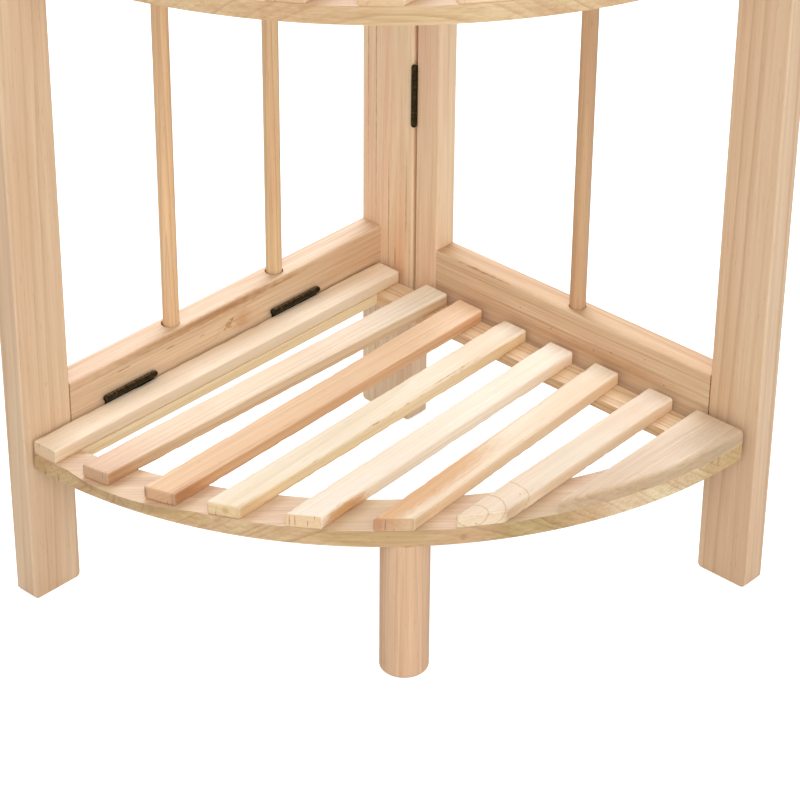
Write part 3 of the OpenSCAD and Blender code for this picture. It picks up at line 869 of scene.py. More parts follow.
RIM_MARKS = (
    Mark((93, 0, 166), (90, 40, 53), (1.18, 1.33, 1.50), softness=0.25, ragged=0.15),
    Mark((93, -2, 82), (60, 40, 36), (0.78, 0.79, 0.66), softness=0.6, ragged=0.3),
    Mark((93, -2, -14), (60, 8, 46), (0.90, 0.92, 0.80), softness=0.4, ragged=0.5),
    Mark((60, -2, -150), (60, 8, 60), (0.93, 0.90, 0.78), softness=0.6, ragged=0.5),
    Mark((96, 1, 40), (30, 3, 3), (0.82, 0.74, 0.60), softness=0.9, ragged=1.2),
    Mark((60, 6, -60), (50, 3, 120), (1.08, 1.08, 1.04), softness=0.9, ragged=0.6),
)
RIM_PINE = Pine(early=(0.70, 0.51, 0.33), late=(0.42, 0.22, 0.12), blush=(0.62, 0.405, 0.255),
                ring_width=2.3, ring_contrast=0.95, pith=(-40.0, -44.0), end_tone=(0.80, 0.74, 0.58),
                side_tone=(0.98, 1.0, 0.90), streak_contrast=1.0, blush_share=1.0, waviness=11.0,
                wear_reach=0.01, seed=0.9)
# The seven slats from left to right, each from another board
SLAT_PINES = (
    Pine((0.85, 0.72, 0.555), (0.62, 0.44, 0.26), (0.82, 0.64, 0.46), seed=0.3, pith=(14, -30),
         side_tone=(0.97, 0.94, 0.90), marks=(PAINTED_WARM_BOUNCE, BACK_PAINTED_LIGHT)),
    Pine((0.80, 0.645, 0.475), (0.54, 0.35, 0.20), (0.78, 0.58, 0.41), seed=1.1, pith=(-24, -26),
         side_tone=(0.94, 0.90, 0.80), marks=(
             PAINTED_WARM_BOUNCE, BACK_PAINTED_LIGHT, front_shade(-176),
             # Painted light on the back half of this slat's top
             Mark((0, 4, 100), (24, 8, 100), (1.06, 1.18, 1.30), softness=1.0),
             Mark((0, 0, -182), (60, 30, 80), (0.82, 0.71, 0.66), softness=1.0, ragged=0.3),
         )),
    Pine((0.73, 0.50, 0.305), (0.51, 0.27, 0.13), (0.70, 0.44, 0.25), seed=2.4, pith=(30, -34),
         end_tone=(0.82, 0.69, 0.52), side_tone=(1.02, 0.94, 0.88), ring_contrast=0.7, marks=(
             front_shade(-164, (0.64, 0.52, 0.44)),
             # Painted light on the back end of this slat's top
             Mark((0, 4.5, 122), (60, 6, 80), (1.26, 1.36, 1.56), softness=1.0, ragged=0.3),
             Mark((9.0, 0, -150), (3.0, 12, 40), (0.90, 0.80, 0.70), softness=1.0),
             Mark((-8.6, 0, -171), (2.2, 6, 4), (0.55, 0.42, 0.32), softness=0.8, ragged=0.8),
             Mark((1.0, 0, -171), (2.0, 6, 3), (1.06, 1.06, 1.06), softness=1.0),
         )),
    Pine((0.81, 0.715, 0.555), (0.58, 0.42, 0.26), (0.81, 0.66, 0.46), seed=3.2, pith=(-10, -40),
         end_tone=(0.90, 0.82, 0.66), side_tone=(1.05, 0.96, 0.80), marks=(
             PAINTED_WARM_BOUNCE, PEACH_BACK, END_PAINTED_LIGHT, front_shade(-150),
             Mark((9.1, 3.4, -30), (0.5, 0.9, 118), (0.50, 0.36, 0.24), softness=0.6, ragged=1.7),
             Mark((7.6, 4.4, 44), (0.5, 1.4, 30), (0.62, 0.46, 0.32), softness=0.8, ragged=2.4),
             Mark((1.8, 0.5, -154), (3.2, 4, 5), (0.72, 0.70, 0.46), softness=0.8),
         )),
    Pine((0.84, 0.75, 0.63), (0.64, 0.49, 0.34), (0.84, 0.70, 0.53), seed=4.6, pith=(22, -22),
         end_tone=(0.86, 0.67, 0.46), side_tone=(1.12, 1.12, 1.10), ring_contrast=0.45, marks=(
             PEACH_BACK, END_PAINTED_LIGHT,
             end_check(-7.0, -134),
             end_check(-4.2, -132),
             Mark((2.2, -1, -129), (0.3, 3, 5), DARK_FIBRE, dent=1.5),
             # Painted shadow on this slat's right side near its front end
             Mark((10.2, -1.5, -105), (3.4, 9, 28), (0.70, 0.46, 0.27), softness=0.6, ragged=0.5),
         )),
    Pine((0.80, 0.695, 0.53), (0.60, 0.38, 0.21), (0.79, 0.60, 0.42), seed=5.3, pith=(-32, -30),
         end_tone=(0.71, 0.52, 0.33), side_tone=(1.05, 0.99, 0.91), marks=(
             PEACH_BACK, END_PAINTED_LIGHT, front_shade(-90),
             Mark((-5.0, 4.5, -62), (12.5, 20, 92), (0.85, 0.60, 0.41), softness=0.65, ragged=0.4),
             Mark((4.2, 4.5, -34), (0.9, 4, 30), (1.0, 0.84, 0.66), softness=0.9),
             Mark((-7.5, 0, -103), (3.6, 6, 5), (0.86, 0.70, 0.56), softness=0.5, ragged=0.5),
             end_check(-3.9, -101),
         )),
    Pine((0.745, 0.63, 0.49), (0.56, 0.40, 0.25), (0.79, 0.62, 0.45), seed=6.8, pith=(9, -44),
         end_tone=(0.82, 0.74, 0.54), side_tone=(1.17, 1.15, 1.12), ring_contrast=0.45, marks=(
             PEACH_BACK, END_PAINTED_LIGHT, front_shade(-46, (0.72, 0.62, 0.52)),
             Mark((4.8, 4.5, -27.4), (0.7, 1.5, 0.7), (0.40, 0.36, 0.40), dent=1.0),
             Mark((-3, 4.5, -62), (29, 15, 41.5), (0.82, 0.70, 0.50), ragged=0.07, line=0.018),
             Mark((-3, 4.5, -62), (16.5, 12, 23), (0.79, 0.67, 0.48), ragged=0.1, line=0.035),
             Mark((-3, 4.5, -62), (8.9, 9, 10), (0.82, 0.70, 0.53), ragged=0.14, line=0.08),
             Mark((-1.6, -2.5, -60.4), (0.6, 0.6, 3.0), DARK_FIBRE, dent=1.0),
         )),
)
UPPER_SLAT_PINE = Pine((0.84, 0.70, 0.52), (0.60, 0.41, 0.24), (0.82, 0.61, 0.42), pith=(18, -34),
                       board_spread=0.35, marks=(PAINTED_WARM_BOUNCE,), side_tone=(0.96, 0.92, 0.85))
BOW_PINE = Pine((0.645, 0.505, 0.36), (0.42, 0.27, 0.16), (0.62, 0.44, 0.295), seed=7.7,
                pith=(40, -36), ring_width=2.6, ring_contrast=0.55, end_tone=(0.90, 0.86, 0.74),
                side_tone=(0.90, 0.86, 0.78), streak_contrast=0.8, marks=(
                    Mark((5, 0, 44), (20, 14, 38), (0.74, 0.70, 0.64), softness=1.0, ragged=0.4),
                ))
LEFT_RAIL_MARKS = (
    Mark((6.9, 8.5, -3.6), (3.2, 6, 3.6), (0.76, 0.61, 0.48), ragged=2.2, swirl=8.0, dent=0.6),
    Mark((9.4, 8.5, -0.6), (1.2, 4, 1.8), DARK_FIBRE, ragged=2.4, share=0.7),
    Mark((5.2, 8.5, -7.4), (0.8, 4, 1.2), DARK_FIBRE, ragged=2.2, share=0.6),
    Mark((7.0, 8.5, 8.2), (10, 6, 12), (0.86, 0.72, 0.60), softness=1.0, ragged=0.8),
    rail_fibre(12.5, -53.6, 0.5, 5.5),
    replace(rail_fibre(9.0, -27.1, 0.45, 4.2), share=0.7),
    rail_fibre(13.8, -94.3, 0.5, 7.0),
    Mark((19.6, 8.5, -30), (4.6, 5, 120), (0.72, 0.60, 0.49), softness=0.9, ragged=0.7),
    Mark((18.6, 8.5, 2), (5.4, 5, 50), (0.88, 0.80, 0.72), softness=1.0, ragged=0.9),
    Mark((18.8, 8.5, 48), (1.5, 4, 24), (0.92, 0.72, 0.54), softness=0.9),
    Mark((5.0, 8.5, -70), (9, 5, 60), (1.05, 1.06, 1.10), softness=1.0, ragged=0.4),
)
RIGHT_RAIL_MARKS = (
    rail_speck(2.3, 21.3, 0.7, 0.8),
    rail_speck(6.7, 35.5, 0.6, 0.7),
    rail_speck(9.4, -40, 0.5, 0.6),
    rail_speck(4.1, -14, 0.5, 0.5),
    rail_speck(12.5, 62, 0.5, 0.6),
    rail_speck(0.8, 78, 0.5, 0.7),
    Mark((22.2, 8.5, -74), (0.8, 3, 34), (0.66, 0.48, 0.36), softness=0.9, ragged=1.6, dent=0.8),
    # Painted shade along the rail's face at the level of the slats' back ends
    Mark((1.0, 8.5, 30), (4.5, 5, 110), (0.90, 0.80, 0.70), softness=1.0, ragged=0.8),
)
CORNER_MARKS = (
    Mark((-1.2, -8.5, -427.6), (0.45, 3, 9.0), DARK_FIBRE, dent=1.5),
    Mark((3, -8.5, -430), (7.0, 5, 120), (0.98, 0.85, 0.79), softness=1.0, ragged=0.8),
    Mark((-7.2, -8.5, -400), (0.5, 3, 60), (0.62, 0.45, 0.34), softness=0.8, ragged=1.1),
    Mark((8.3, -8.5, -385), (0.45, 3, 44), (0.64, 0.48, 0.36), softness=0.8, ragged=1.2),
    Mark((11.6, -8.5, -440), (0.4, 3, 50), (0.66, 0.50, 0.38), softness=0.8, ragged=1.2),
    Mark((0, -8.5, -520), (30, 5, 40), (0.98, 0.96, 0.93), softness=1.0, ragged=1.6),
)
STILE_MARKS = (
    Mark((3.9, -8.5, 0), (0.7, 5, 900), (0.62, 0.44, 0.30), softness=0.9, ragged=0.8),
    Mark((-3.0, -8.5, -260), (0.6, 5, 170), (0.74, 0.56, 0.42), softness=0.9, ragged=0.9),
)
# The bronze's bright top band is a painted highlight, not lit
BRONZE = Metal("dark bronze", (0.032, 0.024, 0.010), (0.24, 0.18, 0.10), metallic=0.9,
               wear=0.45, top_highlight=0.95)
STEEL = Metal("zinc steel", (0.36, 0.36, 0.36), (0.62, 0.62, 0.60), metallic=1.0, wear=0.6)


@dataclass
class Plan:
    """The driving sizes that the CAD source has too, in millimetres, and places worked out of them."""

    board_t: float = 17.0
    slat_w: float = 18.8
    slat_pitch: float = 38.7
    front_r: float = 303.0
    back_gap: float = 4.5
    slot_w: float = 1.8
    front_inset: float = 0.7
    turn_y: float = -140.0
    slat_shift: tuple[float, ...] = (0, 3.2, -0.5, -0.5, 2, 3.4, 3.1)
    slat_turn: tuple[float, ...] = (0, -0.5, 2.3, 2.4, 3.3, 4.7, 2.3)
    slat_extra: tuple[float, ...] = (0, 0, 1.2, 0.4, 0, 0, 0)
    upper_unevenness: float = 0.4
    corner: Vector = field(default_factory=Vector)

    def __post_init__(self) -> None:
        """Finds the back corner on the floor from the frame."""
        low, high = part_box("left_inner_stile")
        self.corner = Vector((low.x, high.y, low.z))

    @property
    def shelf_left(self) -> float:
        """X of the shelves' left edge."""
        return self.board_t + self.slot_w

    @property
    def shelf_back(self) -> float:
        """Y of the slats' back ends."""
        return -self.board_t - self.back_gap

    def at(self, x: float, y: float, z: float = 0.0) -> Vector:
        """Turns millimetres from the back corner into metres in the row's frame."""
        return self.corner + Vector((x, y, z)) * MM

    def unevenness(self, shelf: int) -> float:
        """Gives the share of the hand-laid unevenness that a shelf has."""
        return 1.0 if shelf == 0 else self.upper_unevenness


# Meshes that the geometry trees place and shape


def new_object(name: str, mesh: bpy.types.Mesh) -> bpy.types.Object:
    """Makes an object of a mesh and links it to the scene.

    Args:
        name: The object's name.
        mesh: Its mesh.

    Returns:
        The object.
    """
    made = bpy.data.objects.new(name, mesh)
    bpy.context.scene.collection.objects.link(made)
    return made


def mesh_of(name: str, points: list[tuple[float, ...]], faces: list[tuple[int, ...]],
            smooth: list[bool] | None = None) -> bpy.types.Mesh:
    """Makes a mesh of points and faces.

    Args:
        name: The mesh's name.
        points: Its points.
        faces: Its faces, as places in points.
        smooth: Whether each face is shaded smooth, or None if all are flat.

    Returns:
        The mesh.
    """
    mesh = bpy.data.meshes.new(name)
    mesh.from_pydata(points, [], faces)
    if smooth is not None:
        mesh.polygons.foreach_set("use_smooth", smooth)
    mesh.update()
    return mesh


def store(mesh: bpy.types.Mesh, name: str, values: list, kind: str = "FLOAT") -> None:
    """Stores one value for each point of a mesh.

    Args:
        mesh: The mesh.
        name: The attribute's name.
        values: The values in the points' order.
        kind: FLOAT or FLOAT_VECTOR.
    """
    attribute = mesh.attributes.new(name, kind, "POINT")
    if kind == "FLOAT":
        attribute.data.foreach_set("value", [float(v) for v in values])
    else:
        attribute.data.foreach_set("vector", [float(c) for v in values for c in v])


def points_with(name: str, **attributes: list) -> bpy.types.Object:
    """Makes an object of loose points, one for each piece that a tree makes.

    Args:
        name: The object's name.
        attributes: Lists of values by attribute name; one named place gives the points' positions.

    Returns:
        The object.
    """
    places = attributes.pop("place")
    mesh = mesh_of(name, [tuple(p) for p in places], [])
    for label, values in attributes.items():
        store(mesh, label, values, "FLOAT_VECTOR" if isinstance(values[0], Vector) else "FLOAT")
    return new_object(name, mesh)


def islands(node: str) -> list[list[Vector]]:
    """Finds the separate solids of a CAD node.

    Args:
        node: The node's name.

    Returns:
        The points of each solid.
    """
    bm = bmesh.new()
    bm.from_mesh(frame["nodes"][node].data)
    bmesh.ops.remove_doubles(bm, verts=bm.verts, dist=1e-6)
    seen: set[bmesh.types.BMVert] = set()
    found = []
    for vert in bm.verts:
        if vert in seen:
            continue
        island, front = {vert}, [vert]
        while front:
            for edge in front.pop().link_edges:
                for other in edge.verts:
                    if other not in island:
                        island.add(other)
                        front.append(other)
        seen |= island
        found.append([v.co.copy() for v in island])
    bm.free()
    return found


def box_of(points: list[Vector]) -> tuple[Vector, Vector]:
    """Gives the lowest and the highest corner of some points."""
    return (Vector(min(p[axis] for p in points) for axis in range(3)),
            Vector(max(p[axis] for p in points) for axis in range(3)))


@dataclass
class Blank:
    """A bar along Z whose section is given, with the marks that a tree needs to shape it."""

    name: str
    section: list[tuple[float, float]]
    corners: list[float]
    stations: int
    end_steps: tuple[tuple[float, float], ...] = (
        (0.0, 0.5), (0.05, 0.28), (0.15, 0.12), (0.3, 0.03), (0.5, 0.0))

    def build(self) -> bpy.types.Object:
        """Builds the bar's rings and ends.

        Returns:
            The object, whose points hold section, corner, share, pull and inset.
        """
        steps = [(0.0, pull, inset) for pull, inset in self.end_steps]
        steps += [(n / (self.stations + 1), 0.0, 0.0) for n in range(1, self.stations + 1)]
        steps += [(1.0, -pull, inset) for pull, inset in reversed(self.end_steps)]
        count = len(self.section)
        points = [(x, y, share) for share, _, _ in steps for x, y in self.section]
        faces = []
        for ring in range(len(steps) - 1):
            for n in range(count):
                a = ring * count + n
                b = ring * count + (n + 1) % count
                faces.append((a, b, b + count, a + count))
        sides = len(faces)
        faces.append(tuple(reversed(range(count))))
        faces.append(tuple(range(len(points) - count, len(points))))
        mesh = mesh_of(self.name, points, faces, [True] * sides + [False, False])
        store(mesh, "section", [Vector((x, y, 0)) for _ in steps for x, y in self.section], "FLOAT_VECTOR")
        store(mesh, "corner", self.corners * len(steps))
        store(mesh, "share", [share for share, _, _ in steps for _ in self.section])
        store(mesh, "pull", [pull * MM for _, pull, _ in steps for _ in self.section])
        store(mesh, "inset", [inset * MM for _, _, inset in steps for _ in self.section])
        return new_object(self.name, mesh)


def board_section(width: float, thick: float, arris: float) -> tuple[list[tuple[float, float]], list[float]]:
    """Draws a board's section with soft corners, as shares of its width and thickness.

    Args:
        width: The board's width.
        thick: Its thickness.
        arris: The radius of its corners.

    Returns:
        The section's points and, for each, how much it belongs to a corner.
    """
    corner_steps = 4
    flat_steps = 5
    support = 0.25
    corner_lead = 0.6
    points: list[tuple[float, float]] = []
    marks: list[float] = []
    middles = [(1, -1, -90), (1, 1, 0), (-1, 1, 90), (-1, -1, 180)]
    for side, (sx, sy, start) in enumerate(middles):
        centre = (sx * (width / 2 - arris), sy * (thick / 2 - arris))
        for n in range(corner_steps + 1):
            angle = math.radians(start + 90 * n / corner_steps)
            points.append((centre[0] + arris * math.cos(angle), centre[1] + arris * math.sin(angle)))
            marks.append(math.sin(math.pi * (n + corner_lead) / (corner_steps + 2 * corner_lead)))
        last = points[-1]
        nsx, nsy, nstart = middles[(side + 1) % 4]
        angle = math.radians(nstart)
        end = (nsx * (width / 2 - arris) + arris * math.cos(angle),
               nsy * (thick / 2 - arris) + arris * math.sin(angle))
        length = math.dist(last, end)
        shares = [support / length] + [n / flat_steps for n in range(1, flat_steps)] + [1 - support / length]
        for share in shares:
            points.append((last[0] + (end[0] - last[0]) * share, last[1] + (end[1] - last[1]) * share))
            marks.append(0.0)
    return [(x / width, y / thick) for x, y in points], marks


class Maker:
    """Runs a geometry tree on an object and turns the result into a plain mesh."""

    def __init__(self, graph: GroupGraph) -> None:
        """Keeps the tree."""
        graph.tree.is_modifier = True
        self.graph = graph

    def make(self, name: str, source: bpy.types.Object, **inputs: object) -> bpy.types.Object:
        """Makes one piece and removes the source.

        Args:
            name: The piece's name.
            source: The object of points that the tree works on.
            inputs: The tree's inputs, whose names have _ for a space.

        Returns:
            The piece, at the origin, with no modifier.
        """
        modifier = source.modifiers.new("build", "NODES")
        modifier.node_group = self.graph.tree
        for label, value in inputs.items():
            modifier[self.graph.ids[label.replace("_", " ")]] = value
        bpy.context.view_layer.update()
        depsgraph = bpy.context.evaluated_depsgraph_get()
        mesh = bpy.data.meshes.new_from_object(
            source.evaluated_get(depsgraph), preserve_all_data_layers=True, depsgraph=depsgraph)
        mesh.name = name
        source.modifiers.remove(modifier)
        bpy.data.objects.remove(source)
        return new_object(name, mesh)


def named(g: GroupGraph, name: str, kind: str = "FLOAT") -> Socket:
    """Reads a stored attribute inside a geometry tree."""
    return g.call("GeometryNodeInputNamedAttribute", {"Name": name}, data_type=kind)


def keep(g: GroupGraph, geometry: object, name: str, value: object,
         kind: str = "FLOAT") -> Socket:
    """Stores an attribute on the points inside a geometry tree.

    Args:
        g: The tree's graph.
        geometry: The geometry to store it on.
        name: The attribute's name.
        value: The value's socket.
        kind: FLOAT or FLOAT_VECTOR.

    Returns:
        The geometry with the attribute.
    """
    inputs = {"Geometry": geometry, "Name": name, "Value": value}
    return g.call("GeometryNodeStoreNamedAttribute", inputs, data_type=kind, domain="POINT")


def piece_tree(name: str, inputs: dict[str, Kind]) -> GroupGraph:
    """Starts a geometry tree that works on points, with a blank to put on them and a material.

    Args:
        name: The tree's name.
        inputs: Its further inputs.

    Returns:
        The tree's graph.
    """
    shared = Kind.GEOMETRY.of("Geometry") | Kind.OBJECT.of("Blank") | Kind.MATERIAL.of("Material")
    return GroupGraph(name, "GeometryNodeTree", shared | inputs, Kind.GEOMETRY.of("Geometry"))


def instances(g: GroupGraph, rotation: object = None, scale: object = None) -> Socket:
    """Puts the Blank object on every point and makes the copies real.

    Args:
        g: The tree's graph.
        rotation: The rotation of each copy, or None.
        scale: The scale of each copy, or None.

    Returns:
        The real geometry.
    """
    blank = g.call("GeometryNodeObjectInfo", {"Object": g.given("Blank")}, "Geometry")
    inputs = {"Points": g.given("Geometry"), "Instance": blank}
    if rotation is not None:
        inputs["Rotation"] = rotation
    if scale is not None:
        inputs["Scale"] = scale
    placed = g.call("GeometryNodeInstanceOnPoints", inputs)
    return g.call("GeometryNodeRealizeInstances", {"Geometry": placed})


def finish_tree(g: GroupGraph, geometry: object) -> Maker:
    """Ends a tree with its material.

    Args:
        g: The tree's graph.
        geometry: The finished geometry.

    Returns:
        The maker that runs the tree.
    """
    inputs = {"Geometry": geometry, "Material": g.given("Material")}
    g.put("Geometry", g.call("GeometryNodeSetMaterial", inputs))
    return Maker(g)


def end_bluntness(g: GroupGraph) -> Socket:
    """Gives how many times blunter than the blank's an end is: as stored at the front, 1 at the back."""
    front = g.math("LESS_THAN", named(g, "share"), 0.5)
    return g.times_plus(front, named(g, "bluntness"), 1.0)


def worn_section(g: GroupGraph, width: object, thick: object, seed: object) -> tuple[object, object, object]:
    """Shrinks a blank's section at its ends and chips its corners.

    Args:
        g: The tree's graph.
        width: The board's width.
        thick: Its thickness.
        seed: Its seed.

    Returns:
        The across and through coordinates, and the wear.
    """
    chip_cells = (7, 7, 26)
    section_share = 0.4
    pull_share = 3.0
    wear_per_inset = 2500.0
    x, y, _ = g.split(named(g, "section", "FLOAT_VECTOR"))
    corner = named(g, "corner")
    inset = g.times(named(g, "inset"), end_bluntness(g))
    run = g.plus(named(g, "share"), g.times(named(g, "pull"), pull_share))
    spot = g.join(g.times_plus(x, section_share, seed), g.times(y, section_share), run)
    chips = g.between(g.noise(spot, chip_cells, detail=3, roughness=0.6), 0.42, 0.8)
    chips = g.times(g.times(chips, corner), g.given("Chip Depth"))
    lost = g.times(g.plus(inset, chips), 2.0)
    across = g.times(x, g.minus(width, lost))
    through = g.times(y, g.minus(thick, lost))
    wear = g.math("MAXIMUM", corner, g.times(inset, wear_per_inset), clamp=True)
    return across, through, wear


def slat_maker() -> Maker:
    """Builds the tree that lays slats, cuts them to the curved front and wears their edges.

    Returns:
        The maker.
    """
    inputs = Kind.FLOAT.of("Thickness", "Front Radius", "Back", "Chip Depth")
    g = piece_tree("Slats", inputs | Kind.VECTOR.of("Front Centre"))
    geometry = instances(g)
    wide, turn, seed = (named(g, name) for name in ("wide", "turn", "seed"))
    across, through, wear = worn_section(g, wide, g.given("Thickness"), seed)

    cosine, sine = g.math("COSINE", turn), g.math("SINE", turn)
    sideways = g.join(cosine, sine, 0.0)
    onward = g.join(g.times(sine, -1.0), cosine, 0.0)
    out = g.times_plus(wide, 0.5, across)
    start = g.vector("MULTIPLY_ADD", sideways, g.join(out, out, out), named(g, "edge", "FLOAT_VECTOR"))
    start_x, start_y, start_z = g.split(start)
    flat_start = g.join(start_x, start_y, 0.0)
    to_back = g.math("DIVIDE", g.minus(g.given("Back"), start_y), cosine)
    from_centre = g.vector("SUBTRACT", flat_start, g.given("Front Centre"))
    b = g.vector("DOT_PRODUCT", from_centre, onward)
    squares = g.minus(g.times(b, b), g.vector("DOT_PRODUCT", from_centre, from_centre))
    root = g.math("SQRT", g.times_plus(g.given("Front Radius"), g.given("Front Radius"), squares))
    to_front = g.minus(g.times(b, -1.0), root)
    share = named(g, "share")
    run = g.times_plus(share, g.minus(to_back, to_front), to_front)
    run = g.times_plus(named(g, "pull"), end_bluntness(g), run)
    place = g.vector("MULTIPLY_ADD", onward, g.join(run, run, run), flat_start)
    x, y, _ = g.split(place)
    z = g.plus(g.times_plus(g.given("Thickness"), -0.5, start_z), through)

    geometry = keep(g, geometry, "board", g.join(across, through, run), "FLOAT_VECTOR")
    geometry = keep(g, geometry, "wear", wear)
    geometry = g.call("GeometryNodeSetPosition", {"Geometry": geometry, "Position": g.join(x, y, z)})
    return finish_tree(g, geometry)


def rod_maker() -> Maker:
    """Builds the tree that stands rods up and gives them a slightly uneven, turned surface.

    Returns:
        The maker.
    """
    g = piece_tree("Rods", Kind.FLOAT.of("Diameter", "Chip Depth"))
    geometry = instances(g)
    seed = named(g, "seed")
    across, through, wear = worn_section(g, g.given("Diameter"), g.given("Diameter"), seed)
    foot_x, foot_y, foot_z = g.split(named(g, "foot", "FLOAT_VECTOR"))
    run = g.times_plus(named(g, "share"), named(g, "tall"), named(g, "pull"))
    place = g.join(g.plus(foot_x, across), g.plus(foot_y, through), g.plus(foot_z, run))
    geometry = keep(g, geometry, "board", g.join(across, through, run), "FLOAT_VECTOR")
    geometry = keep(g, geometry, "wear", wear)
    geometry = g.call("GeometryNodeSetPosition", {"Geometry": geometry, "Position": place})
    return finish_tree(g, geometry)


@dataclass(frozen=True)
class ScrewBlank:
    """A countersunk wood screw with a cross recess, driven towards +Z from its head at the origin."""

    head_r: float = 3.2
    shank_r: float = 1.6
    head_h: float = 1.8
    length: float = 17.0
    tip_h: float = 2.0
    recess_h: float = 1.1
    recess_rise: float = 0.55
    arm_half: float = 0.42
    arm_reach: float = 2.1
    sides: int = 24
    face_rings: tuple[float, ...] = (0.10, 0.16, 0.30, 0.45, 0.60, 0.68, 0.90)
    rim_inset: float = 0.08
    rim_h: float = 0.12
    threads: int = 5
    thread_rings: tuple[tuple[float, float], ...] = ((0.35, 0.78), (0.65, 1.0), (1.0, 0.78))

    def recess(self, x: float, y: float) -> float:
        """Gives how deep the cross recess is at a point of the head's face.

        Args:
            x: The point's x, along one pair of arms.
            y: Its y, along the other.

        Returns:
            The depth in millimetres.
        """
        along, aside = max(abs(x), abs(y)), min(abs(x), abs(y))
        if aside > self.arm_half or along > self.arm_reach:
            return 0.0
        return self.recess_h * (1.0 - self.recess_rise * along / self.arm_reach)

    def build(self) -> bpy.types.Object:
        """Builds the screw.

        Returns:
            The object, whose points hold reach, from 0 at the head to 1 at the tip.
        """
        rings = [(share * self.head_r, None) for share in self.face_rings]
        rings += [(self.head_r - self.rim_inset, 0.0), (self.head_r, self.rim_h), (self.shank_r, self.head_h)]
        run = self.length - self.head_h - self.tip_h
        for n in range(self.threads):
            for part, radius in self.thread_rings:
                rings.append((self.shank_r * radius, self.head_h + run * (n + part) / self.threads))
        points = [(0.0, 0.0, self.recess_h)]
        for radius, height in rings:
            for n in range(self.sides):
                angle = 2 * math.pi * n / self.sides
                x, y = radius * math.cos(angle), radius * math.sin(angle)
                points.append((x, y, self.recess(x, y) if height is None else height))
        points.append((0.0, 0.0, self.length))
        faces = [(0, 1 + (n + 1) % self.sides, 1 + n) for n in range(self.sides)]
        for ring in range(len(rings) - 1):
            start = 1 + ring * self.sides
            for n in range(self.sides):
                a, b = start + n, start + (n + 1) % self.sides
                faces.append((a, b, b + self.sides, a + self.sides))
        start = 1 + (len(rings) - 1) * self.sides
        faces += [(start + n, start + (n + 1) % self.sides, len(points) - 1) for n in range(self.sides)]
        mesh = mesh_of("screw blank", [tuple(c * MM for c in point) for point in points], faces)
        below_head = self.length - self.head_h
        store(mesh, "reach", [max(0.0, (z - self.head_h) / below_head) for _, _, z in points])
        return new_object("screw blank", mesh)


def screw_maker() -> Maker:
    """Builds the tree that drives a screw at every point, towards its aim and as long as it must be.

    Returns:
        The maker.
    """
    g = piece_tree("Screws", Kind.FLOAT.of("Length"))
    aim, size = named(g, "aim", "FLOAT_VECTOR"), named(g, "size")
    turned = g.call("FunctionNodeAlignRotationToVector", {"Vector": aim}, axis="Z")
    spin = g.call("FunctionNodeAxisAngleToRotation", {"Axis": (0, 0, 1), "Angle": named(g, "spin")})
    rotation = g.call("FunctionNodeRotateRotation", {"Rotation": turned, "Rotate By": spin},
                      rotation_space="LOCAL")
    geometry = instances(g, rotation, g.join(size, size, size))
    longer = g.minus(named(g, "tall"), g.times(g.given("Length"), size))
    shift = g.times(longer, named(g, "reach"))
    offset = g.vector("MULTIPLY", aim, g.join(shift, shift, shift))
    return finish_tree(g, g.call("GeometryNodeSetPosition", {"Geometry": geometry, "Offset": offset}))


def slot_of(node: str) -> str:
    """Gives a CAD node's material slot in the record."""
    return next(part["material_slot"] for part in frame["record"]["subparts"] if part["node"] == node)


